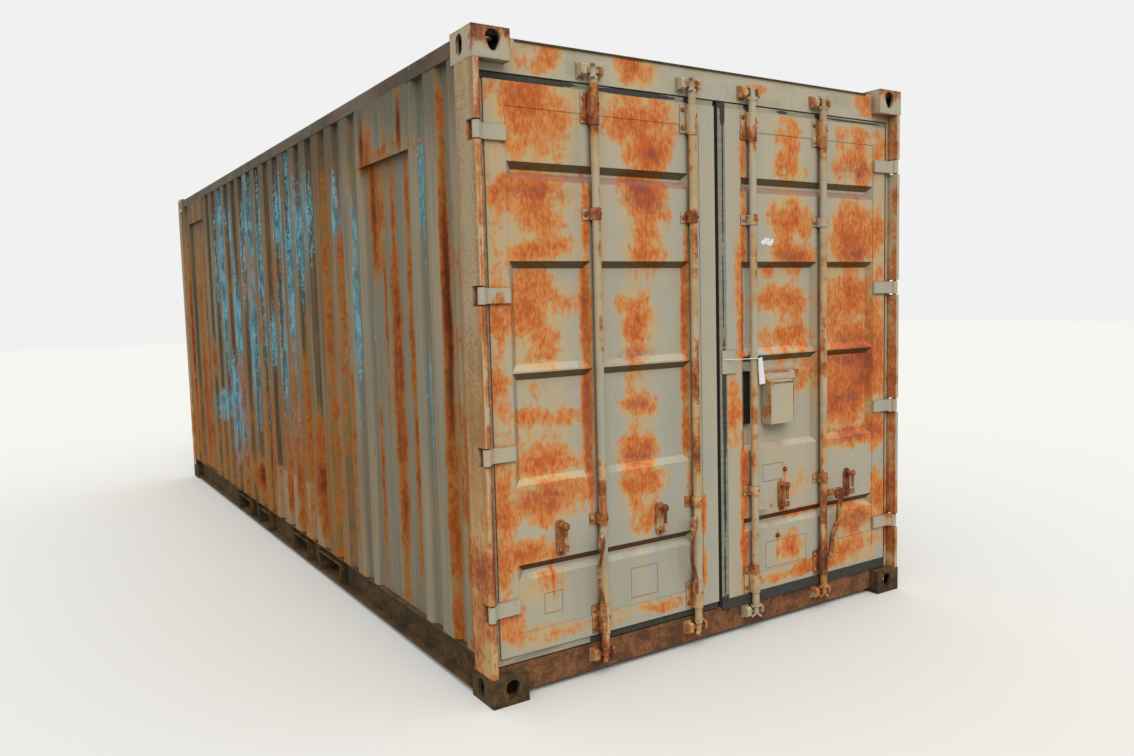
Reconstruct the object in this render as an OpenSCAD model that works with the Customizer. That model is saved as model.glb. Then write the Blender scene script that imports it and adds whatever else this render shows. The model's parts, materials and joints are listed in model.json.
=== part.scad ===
// Twenty-foot steel freight container, in millimetres.
// The length runs along X with the doors at +X, and the container stands on Z = 0.
// Facing the doors from outside, the left side wall is at -Y and the right one at +Y.

/* [Container] */
// Overall length over the corner fittings
box_len = 6058; // [5700:1:6500]
// Overall width over the corner fittings
box_wid = 2438; // [2350:1:2600]
// Overall height over the corner fittings
box_hgt = 2591; // [2500:1:2900]

/* [Corner fittings] */
// Length of a corner fitting
fitting_len = 178; // [174:1:190]
// Width of a corner fitting
fitting_wid = 162; // [158:1:175]
// Height of a corner fitting
fitting_hgt = 118; // [114:1:124]
// Thickness of the face that takes the twistlock
fitting_face = 28; // [20:1:34]
// Thickness of the other walls
fitting_wall = 16; // [10:1:20]
// Length of the twistlock slot, along the container
slot_len = 124; // [118:0.5:130]
// Width of the twistlock slot
slot_wid = 63.5; // [58:0.5:68]
// Distance from the end face to the slot's centre
slot_inset_x = 102.5; // [98:0.5:106]
// Distance from the side face to the slot's centre
slot_inset_y = 89.5; // [86:0.5:92]
// Width of the tall hole in the side face
side_hole_wid = 51; // [44:1:58]
// Height of the tall hole in the side face
side_hole_hgt = 79; // [70:1:82]
// Upper radius of the egg-shaped hole in the end face
end_hole_r = 31.75; // [26:0.25:33]
// Lower radius of the egg-shaped hole in the end face
end_hole_foot_r = 20; // [14:1:24]
// Distance between the two centres of the egg
end_hole_drop = 28; // [20:1:30]

/* [Rear posts] */
// Depth of a rear post, measured from the end face
post_depth = 150; // [140:1:170]
// Width of a rear post behind its nose
post_wid = 49; // [44:1:56]
// Width of the nose that carries the hinges
nose_wid = 28; // [25:1:32]
// Depth of the nose
nose_depth = 52; // [50:1:56]
// Wall of the hollow post
post_wall = 6; // [4:1:8]
// Radius of the outer vertical edge
post_edge_r = 9; // [4:1:12]

/* [Hinges] */
// Levels of the hinge centres, as shares of a door's height
hinge_levels = [0.0897, 0.3637, 0.6381, 0.9121];
// Depth of the pin behind the end face
pin_depth = 18; // [17:0.5:20]
// Distance of the pin from the side face
pin_side = 17; // [16:0.5:20]
// Radius of the pin
pin_r = 8; // [6:0.5:9]
// Outer radius of the knuckle
knuckle_r = 15; // [13:0.5:15.5]
// Height of the knuckle
knuckle_hgt = 66; // [56:1:80]
// Height of the blade
blade_hgt = 60; // [50:1:66]
// Thickness of the blade
blade_thk = 11; // [8:1:12]
// Gap above and below a knuckle
knuckle_gap = 5; // [3:1:8]
// Depth of the pocket that lets the knuckle fold back
pocket_depth = 61; // [58:1:66]

/* [Doors] */
// Depth of the doors' outer face behind the end face
door_depth = 46; // [45:1:50]
// Thickness of a door frame
door_thk = 50; // [40:1:60]
// Distance of a door's hinge edge from the side face
door_side = 64; // [60:1:70]
// Height of the doors' lower edge
door_bottom = 172; // [165:1:180]
// Gap from the doors' upper edge to the header
door_top_gap = 30; // [26:1:36]
// Free edge of the left door, left of the centre line
left_free = 9; // [7:1:12]
// Free edge of the right door, right of the centre line
right_free = 55; // [50:1:60]
// Width of the upright frame members
stile_wid = 90; // [80:1:100]
// Height of the upper frame member
top_rail_hgt = 93; // [80:1:105]
// Height of the lower frame member
low_rail_hgt = 87; // [75:1:100]
// Step from the frame's face back to the pressed sheet
sheet_step = 2; // [1:0.5:4]
// Thickness of the pressed door sheet
sheet_thk = 2.5; // [1.5:0.5:4]
// Depth of the pressed pans
pan_depth = 22; // [14:1:26]
// Width of a pan's sloping edge
pan_slope = 28; // [18:1:34]
// Width of the upright ridge between two pans
pan_ridge = 34; // [24:1:50]
// Plain width beside the left door's free stile
left_plain = 62; // [30:1:80]
// Plain width beside the right door's free stile
right_plain = 5; // [2:1:40]
// Lower and upper level of the low groove, as shares of a door's height
groove_low = [0.133, 0.1615];
// Lower and upper level of the low pan, as shares of a door's height
pan_low = [0.3025, 0.502];
// Lower and upper level of the high pan, as shares of a door's height
pan_high = [0.505, 0.697];
// Lower and upper level of the high groove, as shares of a door's height
groove_high = [0.8362, 0.8666];

/* [Gaskets] */
// Depth of the gasket's front behind the end face
gasket_depth = 54; // [50:1:60]
// Thickness of the gasket
gasket_thk = 30; // [20:1:36]
// Width of the gasket at the hinge edge
gasket_side = 10; // [8:1:12]
// Height of the gasket over a door
gasket_top = 24; // [16:1:25]
// Height of the gasket under a door
gasket_foot = 30; // [20:1:31]
// Width of the strip that closes the gap between the doors
centre_strip = 44; // [36:1:48]
// Depth of the right door's outer lip behind the end face
lip_depth = 42; // [41:1:43]
// Height of the right door's outer lip under the door
lip_hgt = 46; // [40:1:46]

/* [Locking gear] */
// Depth of the lock rods' axes behind the end face
rod_depth = 22; // [21.5:0.5:23]
// Radius of a lock rod
rod_r = 17; // [14:0.5:17]
// Distance of an outer rod from its door's hinge edge
rod_outer = 487; // [440:1:520]
// Distance of an inner rod from its door's free edge
rod_inner = 146; // [125:1:170]
// Turn of the outermost left rod out of the keepers at rest
turn_far = 50; // [34:1:52]
// Turn of the left door's inner rod out of the keepers at rest
turn_mid = 40; // [30:1:50]
// Turn of the right door's rods out of the keepers at rest
turn_near = 21; // [20:1:26]
// Distance from a cam's middle to the edge of the beam that it closes on
cam_inset = 45; // [40:1:52]
// Half height of a cam
cam_half = 30; // [28:1:33]
// Half width of a cam's wings
cam_wing = 26; // [20:1:27]
// Half thickness of a cam's wings
cam_half_thk = 9; // [6:1:10]
// Radius of the cam's waist
cam_waist = 11; // [9:0.5:12]
// Reach of the claw from the rod's axis
claw_r = 25; // [23:0.5:26]
// Distance from the rod's axis to the claw's gripping face
claw_face = 15; // [14:0.5:16]
// Half height of the claw
claw_half = 10; // [8:1:12]
// Distance from the rod's axis to the tip of the keeper's lip
lip_tip = 15.5; // [15:0.25:17]
// Distance from the rod's axis to a keeper lug
lug_near = 33; // [32:0.5:36]
// Width of the large keeper lug
lug_wid = 28; // [20:1:34]
// Width of the small keeper lug
lug_small = 13; // [10:1:18]
// Half height of a keeper lug
lug_half = 24; // [18:1:28]

/* [Rod brackets] */
// Thickness of a bracket's strap
strap_thk = 3; // [2:0.5:3.5]
// Running gap between a rod and its bracket
strap_gap = 0.5; // [0.25:0.25:1]
// Reach of a bracket's bolting flange from the rod's axis
flange_reach = 52; // [44:1:60]
// Height of a bearing bracket
bearing_hgt = 120; // [90:1:140]
// Height of a guide
guide_hgt = 46; // [36:1:60]
// Middle of the lower bearing
bearing_low_z = 240; // [230:1:250]
// Distance of the upper bearing's middle below the door's top
bearing_top_drop = 70; // [64:1:90]
// Height of the lower guide
guide_low_z = 669; // [660:1:700]
// Level of the upper guide, as a share of a door's height
guide_level = 0.781; // [0.75:0.001:0.81]

/* [Handles] */
// Height of the handle pins
hub_z = 592; // [580:1:600]
// Distance from a rod's axis to its handle pin
hub_reach = 76; // [70:1:82]
// Half height of the hub's tab
hub_half = 17; // [14:1:18]
// Thickness of the hub's tab
hub_plate = 10; // [8:1:12]
// Radius of the fork's cheeks round the pin
cheek_r = 18; // [16:1:20]
// Thickness of the fork's cheeks and web
cheek_thk = 5; // [4:1:6]
// Reach of the fork from the pin to the web's outer face
fork_reach = 29; // [28:1:32]
// Depth of the fork's cheeks below the pin
cheek_foot = 34; // [30:1:38]
// Width of a handle
handle_wid = 22; // [18:1:26]
// Gap between the hub's tab and each cheek of the handle's fork
handle_gap = 1; // [0.5:0.25:2]
// Radius of the handle pin
handle_pin_r = 6; // [4:0.5:8]
// Length of a handle below its pin
handle_len = 322; // [300:1:350]
// Outward crank of a handle below its pin
crank_out = 13; // [12:1:13]
// Bend of a handle towards the door when it is locked
bend_in = 12; // [0:1:12]
// Inward crank of a handle at its end
crank_in = 37; // [20:1:38]

/* [Retainers] */
// Distance from a rod to its handle retainer
retainer_off = 196; // [185:1:215]
// Height of a retainer's swivel pin
retainer_z = 668; // [660:1:690]
// Length of a retainer's back plate below the swivel pin
retainer_drop = 104; // [98:1:116]
// Half width of a retainer's back plate
retainer_half = 22; // [18:1:26]
// Thickness of a retainer's back plate
retainer_thk = 6; // [4:1:8]
// Length of a catch's arm
catch_len = 60; // [50:1:66]

/* [Lock box] */
// Left side of the lock box, right of the centre line
lockbox_y = 292; // [280:1:320]
// Width of the lock box
lockbox_wid = 150; // [120:1:170]
// Level of the lock box's lower edge, as a share of a door's height
lockbox_level = 0.357; // [0.345:0.001:0.37]
// Height of the lock box
lockbox_hgt = 204; // [180:1:230]
// Depth of the lock box's front behind the end face
lockbox_depth = 6; // [4:1:14]
// Height of the hood over the lock box
hood_hgt = 42; // [30:1:50]
// Reach of the hood beyond the box's left side
hood_left = 38; // [20:1:40]
// Reach of the hood beyond the box's right side
hood_right = 74; // [60:1:80]
// Level of the centre plate's middle, as a share of a door's height
centre_level = 0.4933; // [0.48:0.0001:0.51]
// Height of the centre plate
centre_hgt = 107; // [90:1:120]
// Reach of the centre plate to the left of the right door's edge
centre_left = 35; // [25:1:40]
// Reach of the centre plate to the right of the right door's edge
centre_right = 50; // [40:1:60]

/* [Side walls] */
// Distance from the side face to the outer level of the sheet
wall_side = 6; // [5:1:10]
// Thickness of the wall sheet
wall_thk = 2; // [1.6:0.2:4]
// Depth of the corrugation
wave_depth = 24; // [18:1:36]
// Distance from one valley to the next
wave_pitch = 232; // [200:1:300]
// Width of a valley's mouth
valley_mouth = 118; // [90:1:140]
// Width of a valley's sloping side
valley_slope = 20; // [12:1:34]
// Number of valleys between the doors' posts and the first vent
near_valleys = 2; // [1:1:2]
// Distance from the end face to the first vent's recess
vent_near = 632; // [620:1:660]
// Distance from the far end to the second vent's recess
vent_far = 446; // [430:1:470]
// Width of a vent's recess
vent_wid = 604; // [560:1:640]
// Height of the first vent's cover
vent_near_hgt = 275; // [200:1:320]
// Height of the second vent's cover
vent_far_hgt = 175; // [120:1:260]
// Distance from the first vent to the middle of the next valley
vent_to_valley = 100; // [90:1:120]
// Lap of a vent cover over the wall beside its recess
vent_lap = 6; // [3:1:12]

/* [Rails and floor] */
// Width and height of a top side rail
top_rail = 60; // [50:1:70]
// Distance from the fittings' top to the rails' top
top_drop = 20; // [18:1:26]
// Wall of the hollow rails
rail_wall = 4; // [3:1:6]
// Distance from the side face to a side rail
rail_side = 3; // [2:1:5]
// Width of the bottom side rail's flanges
low_rail_wid = 48; // [40:1:60]
// Height of the bottom side rail's underside
rail_foot = 22; // [16:1:28]
// Height of the floor's walking surface
floor_top = 178; // [172:1:190]
// Thickness of the floor boards
floor_thk = 28; // [21:1:28]
// Width of a cross member's flanges
cross_wid = 45; // [40:1:60]
// Spacing of the cross members
cross_pitch = 300; // [250:10:400]

/* [Door end beams] */
// Depth of the header's and sill's front behind the end face
beam_depth = 52; // [51:1:54]
// Height of the header's underside below the fittings' top
header_drop = 148; // [140:1:156]
// Depth of the header and sill from front to back
beam_thk = 100; // [80:1:100]
// Height of the sill's front step
sill_step = 136; // [130:1:141]

/* [Fork pockets] */
// Distance between the outer pair of pockets
fork_outer = 2050; // [1950:1:2150]
// Width of an outer pocket
fork_outer_wid = 360; // [330:1:380]
// Distance between the inner pair of pockets
fork_inner = 900; // [850:1:950]
// Width of an inner pocket
fork_inner_wid = 305; // [280:1:320]
// Height of a pocket
fork_hgt = 110; // [100:1:112]
// Thickness of the pocket plates
fork_thk = 5; // [4:1:7]

/* [Roof and front] */
// Thickness of the roof sheet
roof_thk = 2; // [1.6:0.2:3]
// Height of the roof's pressed ribs
rib_hgt = 11; // [6:1:12]
// Distance between the roof's ribs
rib_pitch = 210; // [180:1:260]
// Depth of the front wall's corrugation
front_wave = 45; // [30:1:46]
// Distance between the front wall's valleys
front_pitch = 250; // [220:1:280]

/* [Hidden] */
$fn = 48;
half_len = box_len / 2;
half_wid = box_wid / 2;
eps = 0.5;
paint = [0.66, 0.635, 0.55];
rust = [0.55, 0.27, 0.12];
dark_rust = [0.36, 0.20, 0.12];
rubber = [0.12, 0.12, 0.13];
steel_grey = [0.42, 0.42, 0.40];

header_z = box_hgt - header_drop;
rail_top = box_hgt - top_drop;
rail_low = rail_top - top_rail;
door_top = header_z - door_top_gap;
function door_level(share) = door_bottom + share * (door_top - door_bottom);
hinge_z = [for (share = hinge_levels) door_level(share)];
door_back = door_depth + door_thk;
door_hinge_edge = half_wid - door_side;
wall_foot = floor_top;
web_side = rail_side + low_rail_wid;
sheet_depth = door_depth + sheet_step;
pan_floor = sheet_depth + pan_depth;
fork_z = rail_foot + rail_wall;

// depth of a hinge pin's seat in the post, and the play round pins
pin_seat = 24;
pin_fit = 0.3;
bore_fit = 0.5;

front_post_depth = 100;
front_post_wid = 60;
front_rail_wid = 60;
socket_hgt = 6;
fork_gap_z = 21;
boss_front = 10;
catch_pin_r = 6;
collar_gap = 0.5;
collar_hgt = 8;
vent_plain = 57;

// rod positions across the door end, from left to right
rod_y = [-(door_hinge_edge - rod_outer), -(left_free + rod_inner),
         right_free + rod_inner, door_hinge_edge - rod_outer];
// the way each rod's hub points when it is locked: left for the left door, right for the right door
rod_side = [-1, -1, 1, 1];
rod_turn = [turn_far, turn_mid, turn_near, turn_near];
cam_top_z = header_z + cam_inset;
cam_low_z = sill_step - cam_inset;

// puts a shape drawn in (depth from the end, distance from the side, height) at one of the corners
module at_corner(end, side) {
    translate([end * half_len, side * half_wid, 0])
        mirror([end > 0 ? 1 : 0, 0, 0])
            mirror([0, side > 0 ? 1 : 0, 0])
                children();
}

// puts a shape drawn in (depth behind the door end, Y, height) in place
module at_door_end() {
    translate([half_len, 0, 0]) mirror([1, 0, 0]) children();
}

// puts a shape drawn in (outward, along the locked hub, height) on one rod, turned by the rod's rest turn
module on_rod(i, turn) {
    translate([half_len - rod_depth, rod_y[i], 0])
        rotate([0, 0, -rod_side[i] * turn])
            mirror([0, rod_side[i] < 0 ? 1 : 0, 0])
                children();
}

module block(low, high) {
    translate(low) cube(high - low);
}

// a plate with four sloping edges, wide at its mouth and narrow at its floor, along +X
module pan(x0, x1, y0, y1, z0, z1, slope) {
    intersection() {
        translate([0, y1, 0]) rotate([90, 0, 0]) linear_extrude(y1 - y0)
            polygon([[x0, z0], [x1, z0 + slope], [x1, z1 - slope], [x0, z1]]);
        translate([0, 0, z0]) linear_extrude(z1 - z0)
            polygon([[x0, y0], [x1, y0 + slope], [x1, y1 - slope], [x0, y1]]);
    }
}

module slot_2d(length, width) {
    r = width / 2;
    square([length - width, width], center = true);
    for (s = [-1, 1]) translate([s * (length - width) / 2, 0]) circle(r);
}

// the egg-shaped hole of a fitting's end face, wide end up
module egg_2d() {
    lean = acos((end_hole_r - end_hole_foot_r) / end_hole_drop);
    circle(end_hole_r);
    translate([0, -end_hole_drop]) circle(end_hole_foot_r);
    polygon([
        [end_hole_r * sin(lean), -end_hole_r * cos(lean)],
        [end_hole_foot_r * sin(lean), -end_hole_drop - end_hole_foot_r * cos(lean)],
        [-end_hole_foot_r * sin(lean), -end_hole_drop - end_hole_foot_r * cos(lean)],
        [-end_hole_r * sin(lean), -end_hole_r * cos(lean)]
    ]);
}

// a cast corner fitting with its outer corner at the origin and its twistlock face on Z = 0
module corner_fitting(upright) {
    hole_z = fitting_hgt / 2 - 4;
    difference() {
        cube([fitting_len, fitting_wid, fitting_hgt]);
        block([fitting_wall, fitting_wall, fitting_face],
              [fitting_len - fitting_wall, fitting_wid - fitting_wall, fitting_hgt - fitting_wall]);
        translate([slot_inset_x, slot_inset_y, -eps])
            linear_extrude(fitting_face + 2 * eps) slot_2d(slot_len, slot_wid);
        translate([slot_inset_x, fitting_wall + eps, hole_z]) rotate([90, 0, 0])
            linear_extrude(fitting_wall + 2 * eps) rotate(90) slot_2d(side_hole_hgt, side_hole_wid);
        translate([-eps, slot_inset_y, hole_z + upright * end_hole_drop / 2])
            rotate([90, 0, 90]) linear_extrude(fitting_wall + 2 * eps)
                mirror([0, upright > 0 ? 0 : 1]) egg_2d();
    }
}

module corner_fittings_top() {
    color(steel_grey)
    for (end = [-1, 1], side = [-1, 1])
        at_corner(end, side) translate([0, 0, box_hgt]) mirror([0, 0, 1]) corner_fitting(-1);
}

module corner_fittings_bottom() {
    color(rust)
    for (end = [-1, 1], side = [-1, 1])
        at_corner(end, side) corner_fitting(1);
}

// outline of a rear post with its rounded outer edge
function rear_post_outline() = concat(
    [for (a = [0 : 15 : 90]) [post_edge_r * (1 - cos(a)), post_edge_r * (1 - sin(a))]],
    [[post_depth, 0], [post_depth, post_wid], [nose_depth, post_wid], [nose_depth, nose_wid], [0, nose_wid]]
);

module rear_post() {
    pocket_half = knuckle_hgt / 2 + knuckle_gap;
    difference() {
        translate([0, 0, fitting_hgt]) linear_extrude(box_hgt - 2 * fitting_hgt)
            polygon(rear_post_outline());
        block([pocket_depth + post_wall, post_wall, fitting_hgt - eps],
              [post_depth - post_wall, post_wid - post_wall, box_hgt - fitting_hgt + eps]);
        for (z = hinge_z) {
            block([-eps, -eps, z - pocket_half], [pocket_depth, nose_wid + eps, z + pocket_half]);
            translate([pin_depth, pin_side, z - pocket_half - pin_seat])
                cylinder(r = pin_r + pin_fit, h = 2 * (pocket_half + pin_seat));
        }
    }
}

module rear_posts() { color(paint) for (side = [-1, 1]) at_corner(1, side) rear_post(); }

module hinge_pins() {
    half = knuckle_hgt / 2 + knuckle_gap + pin_seat;
    color(dark_rust)
    for (side = [-1, 1], z = hinge_z)
        at_corner(1, side) translate([pin_depth, pin_side, z - half]) cylinder(r = pin_r, h = 2 * half);
}

module front_post() {
    translate([0, 0, fitting_hgt]) difference() {
        cube([front_post_depth, front_post_wid, box_hgt - 2 * fitting_hgt]);
        block([post_wall, post_wall, -eps],
              [front_post_depth - post_wall, front_post_wid - post_wall, box_hgt - 2 * fitting_hgt + eps]);
    }
}

module front_posts() { color(paint) for (side = [-1, 1]) at_corner(-1, side) front_post(); }

// a hollow rail or beam between two corners of a box
module hollow_x(low, high, wall) {
    difference() {
        block(low, high);
        block([low[0] - eps, low[1] + wall, low[2] + wall], [high[0] + eps, high[1] - wall, high[2] - wall]);
    }
}

module hollow_y(low, high, wall) {
    difference() {
        block(low, high);
        block([low[0] + wall, low[1] - eps, low[2] + wall], [high[0] - wall, high[1] + eps, high[2] - wall]);
    }
}

module top_side_rail() {
    hollow_x([fitting_len, rail_side, rail_low],
             [box_len - fitting_len, rail_side + top_rail, rail_top], rail_wall);
}

module top_side_rails() { color(steel_grey) for (side = [-1, 1]) at_corner(1, side) top_side_rail(); }

function fork_list() = [
    [-fork_outer / 2, fork_outer_wid], [-fork_inner / 2, fork_inner_wid],
    [fork_inner / 2, fork_inner_wid], [fork_outer / 2, fork_outer_wid]
];

// runs of a bottom side rail between the ends and the fork pockets, from the door end
function rail_runs() = let (edges = concat(
        [beam_depth + beam_thk],
        [for (f = fork_list(), s = [-1, 1]) half_len + f[0] + s * f[1] / 2],
        [box_len - front_post_depth]))
    [for (i = [0 : 2 : len(edges) - 2]) [edges[i], edges[i + 1]]];

// channel that opens outwards, closed by a plate at each end of a run
module bottom_side_rail() {
    for (run = rail_runs()) difference() {
        translate([run[0], 0, 0]) rotate([90, 0, 90]) union() {
            linear_extrude(run[1] - run[0]) polygon([
                [rail_side, wall_foot], [web_side, wall_foot], [web_side, rail_foot], [rail_side, rail_foot],
                [rail_side, rail_foot + rail_wall], [web_side - rail_wall, rail_foot + rail_wall],
                [web_side - rail_wall, wall_foot - rail_wall], [rail_side, wall_foot - rail_wall]
            ]);
            for (x = [0, run[1] - run[0] - fork_thk]) translate([rail_side, rail_foot, x])
                cube([low_rail_wid, wall_foot - rail_foot, fork_thk]);
        }
        block([0, -eps, 0], [fitting_len, fitting_wid, fitting_hgt]);
        block([box_len - fitting_len, -eps, 0], [box_len, fitting_wid, fitting_hgt]);
    }
}

module bottom_side_rails() { color(dark_rust) for (side = [-1, 1]) at_corner(1, side) bottom_side_rail(); }

module front_top_rail() {
    y = half_wid - fitting_wid;
    color(steel_grey) translate([-half_len, 0, 0])
        hollow_y([rail_side, -y, rail_low], [rail_side + front_rail_wid, y, rail_top], rail_wall);
}

module front_bottom_rail() {
    y = half_wid - fitting_wid;
    color(dark_rust) translate([-half_len, 0, 0]) union() {
        hollow_y([rail_side, -y, rail_foot], [rail_side + front_rail_wid, y, floor_top], rail_wall);
        hollow_y([rail_side, -(half_wid - front_post_wid), fitting_hgt],
                 [rail_side + front_rail_wid, half_wid - front_post_wid, floor_top], rail_wall);
    }
}

module door_header() {
    y = half_wid - fitting_wid;
    fitting_low = box_hgt - fitting_hgt;
    color(paint) at_door_end() difference() {
        union() {
            block([beam_depth, -y, header_z], [beam_depth + beam_thk, y, rail_top]);
            block([beam_depth, -(half_wid - post_wid), header_z],
                  [beam_depth + beam_thk, half_wid - post_wid, fitting_low]);
        }
        block([beam_depth + rail_wall, -y + rail_wall, header_z + rail_wall],
              [beam_depth + beam_thk - rail_wall, y - rail_wall, rail_top - rail_wall]);
    }
}

// hollow threshold: low under the doors and level with the floor behind them
module door_sill() {
    y = half_wid - fitting_wid;
    back = beam_depth + beam_thk;
    step = door_back + 5;
    color(dark_rust) at_door_end() difference() {
        union() {
            block([beam_depth, -y, rail_foot], [back, y, sill_step]);
            block([beam_depth, -(half_wid - post_wid), fitting_hgt], [back, half_wid - post_wid, sill_step]);
            block([step, -(half_wid - post_wid), sill_step - eps], [back, half_wid - post_wid, floor_top]);
        }
        block([beam_depth + rail_wall, -y + rail_wall, rail_foot + rail_wall],
              [back - rail_wall, y - rail_wall, sill_step - rail_wall]);
        block([step + rail_wall, -y + rail_wall, sill_step - 2 * rail_wall],
              [back - rail_wall, y - rail_wall, floor_top - rail_wall]);
    }
}

// floor of the container between its end beams
floor_front = -half_len + rail_side + front_rail_wid;
floor_back = half_len - beam_depth - beam_thk;

// true where a cross member at x would stand in a fork pocket or in one of its sides
function in_fork(x) = max([for (f = fork_list())
    abs(x - f[0]) < f[1] / 2 + 2 * cross_wid + fork_thk ? 1 : 0]) > 0;

// a channel across the container, open towards +X
module cross_member(x) {
    web_y = half_wid - web_side;
    low = rail_foot + 6;
    top = floor_top - floor_thk;
    translate([x, web_y, 0]) rotate([90, 0, 0]) linear_extrude(2 * web_y)
        polygon([
            [0, low], [cross_wid, low], [cross_wid, low + rail_wall], [rail_wall, low + rail_wall],
            [rail_wall, top - rail_wall], [cross_wid, top - rail_wall], [cross_wid, top], [0, top]
        ]);
}

// members at even steps between the fittings, and one on each side of every fork pocket
module cross_members() {
    clear = 12;
    reach = half_len - fitting_len - clear - cross_wid;
    count = floor(2 * reach / cross_pitch);
    color(dark_rust) {
        for (i = [0 : count]) {
            x = -half_len + fitting_len + clear + i * (2 * reach + cross_wid) / count;
            if (!in_fork(x)) cross_member(x);
        }
        for (f = fork_list()) {
            cross_member(f[0] + f[1] / 2);
            translate([f[0] - f[1] / 2, 0, 0]) mirror([1, 0, 0]) cross_member(0);
        }
    }
}

// roof plate of each fork pocket with the side rails' upper part over its mouths, and a strap under each mouth
module fork_pockets() {
    outer_y = half_wid - rail_side;
    top = fork_z + fork_hgt;
    strap_wid = 200;
    color(dark_rust)
    for (f = fork_list()) translate([f[0], 0, 0]) {
        half = f[1] / 2;
        union() {
            block([-half, -outer_y, top], [half, outer_y, top + fork_thk]);
            for (s = [0, 1]) mirror([0, s, 0]) {
                block([-half, half_wid - web_side, top], [half, half_wid - web_side + rail_wall, wall_foot]);
                block([-half, half_wid - web_side, wall_foot - rail_wall], [half, outer_y, wall_foot]);
            }
        }
        for (s = [0, 1]) mirror([0, s, 0])
            block([-half, outer_y - strap_wid, rail_foot], [half, outer_y, fork_z]);
    }
}

module floor_boards() {
    web_y = half_wid - web_side;
    color([0.45, 0.33, 0.2])
    difference() {
        block([floor_front, -web_y, floor_top - floor_thk], [floor_back, web_y, floor_top]);
        for (side = [-1, 1]) at_corner(-1, side) block([0, 0, 0], [front_post_depth, front_post_wid, box_hgt]);
    }
}

// pressed roof sheet with cross ribs
module roof_sheet() {
    roof_plain = 60;
    x0 = -half_len + fitting_len / 2 + roof_plain;
    x1 = half_len - fitting_len / 2 - roof_plain;
    y = half_wid - rail_side - 8;
    rib_wid = 110;
    rib_slope = 18;
    count = floor((x1 - x0 - 2 * roof_plain) / rib_pitch);
    step = (x1 - x0 - 2 * roof_plain) / count;
    top = rail_top;
    inner_x = half_len - fitting_len;
    inner_y = half_wid - fitting_wid;
    rib_y = y - top_rail;
    color(steel_grey) difference() {
        union() {
            block([-inner_x, -y, top], [inner_x, y, top + roof_thk]);
            block([-half_len + rail_side, -inner_y, top], [half_len - beam_depth, inner_y, top + roof_thk]);
            for (i = [0 : count - 1]) translate([x0 + roof_plain + (i + 0.5) * step, 0, top])
                rotate([0, -90, 0]) pan(0, rib_hgt, -rib_y, rib_y, -rib_wid / 2, rib_wid / 2, rib_slope);
        }
        for (i = [0 : count - 1]) translate([x0 + roof_plain + (i + 0.5) * step, 0, top])
            rotate([0, -90, 0]) pan(-roof_thk, rib_hgt - roof_thk, -rib_y + roof_thk, rib_y - roof_thk,
                                    -rib_wid / 2 + roof_thk, rib_wid / 2 - roof_thk, rib_slope + roof_thk);
    }
}

// middles and widths of every valley and vent recess, from the door end
function valley_list() = concat(
    [for (i = [0 : near_valleys - 1])
        [vent_near - vent_plain - valley_mouth / 2 - (near_valleys - 1 - i) * wave_pitch, valley_mouth]],
    [[vent_near + vent_wid / 2, vent_wid]],
    [for (i = [0 : field_count - 1]) [field_start + i * wave_pitch, valley_mouth]],
    [[box_len - vent_far - vent_wid / 2, vent_wid]],
    [[box_len - vent_far + vent_plain + valley_mouth / 2, valley_mouth]]
);
field_start = vent_near + vent_wid + vent_to_valley;
field_end = box_len - vent_far - vent_wid - vent_plain - valley_mouth / 2;
field_count = floor((field_end - field_start) / wave_pitch) + 1;

// outline of a corrugated sheet: a straight run from x0 to x1 with a valley at each listed place
function wave_points(x0, x1, list, level, depth, slope) = concat(
    [[x0, level]],
    [for (v = list, p = [
        [v[0] - v[1] / 2, level], [v[0] - v[1] / 2 + slope, level + depth],
        [v[0] + v[1] / 2 - slope, level + depth], [v[0] + v[1] / 2, level]]) p],
    [[x1, level]]
);
function reversed(list) = [for (i = [len(list) - 1 : -1 : 0]) list[i]];

// the same outline moved inwards by the sheet's thickness, with the slopes kept parallel
function wave_sheet(x0, x1, list, level, depth, slope, thk) =
    let (turn = atan2(depth, slope), shift = thk * tan(turn / 2),
         inner = [for (v = list) [v[0], v[1] + 2 * shift]])
    concat(wave_points(x0, x1, list, level, depth, slope),
           reversed(wave_points(x0, x1, inner, level + thk, depth, slope)));

module side_wall() {
    difference() {
        translate([0, 0, wall_foot]) linear_extrude(rail_low - wall_foot)
            polygon(wave_sheet(post_depth, box_len - front_post_depth, valley_list(),
                               wall_side, wave_depth, valley_slope, wall_thk));
        block([0, 0, box_hgt - fitting_hgt], [fitting_len, fitting_wid, box_hgt]);
        block([box_len - fitting_len, 0, box_hgt - fitting_hgt], [box_len, fitting_wid, box_hgt]);
    }
}

module side_wall_left() { color(paint) at_corner(1, -1) side_wall(); }
module side_wall_right() { color(paint) at_corner(1, 1) side_wall(); }

front_list = let (span = box_wid - 2 * front_post_wid, count = floor(span / front_pitch))
    [for (i = [0 : count - 1]) [-span / 2 + (i + 0.5) * span / count, front_pitch * 0.56]];

module front_wall() {
    y = half_wid - front_post_wid;
    front_slope = 22;
    color(paint) difference() {
        translate([-half_len, 0, wall_foot]) rotate([0, 0, 90]) mirror([0, 1, 0])
            linear_extrude(rail_low - wall_foot)
                polygon(wave_sheet(-y, y, front_list, rail_side + 6, front_wave, front_slope, wall_thk));
        for (side = [-1, 1]) at_corner(-1, side)
            block([0, 0, box_hgt - fitting_hgt], [fitting_len, fitting_wid, box_hgt]);
    }
}

module vent_covers() {
    color(paint)
    for (side = [-1, 1]) at_corner(1, side) {
        block([vent_near - vent_lap, rail_side, rail_low - vent_near_hgt],
              [vent_near + vent_wid + vent_lap, wall_side, rail_low]);
        translate([box_len - vent_far - vent_wid, 0, 0])
            block([-vent_lap, rail_side, rail_low - vent_far_hgt],
                  [vent_wid + vent_lap, wall_side, rail_low]);
    }
}

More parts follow.
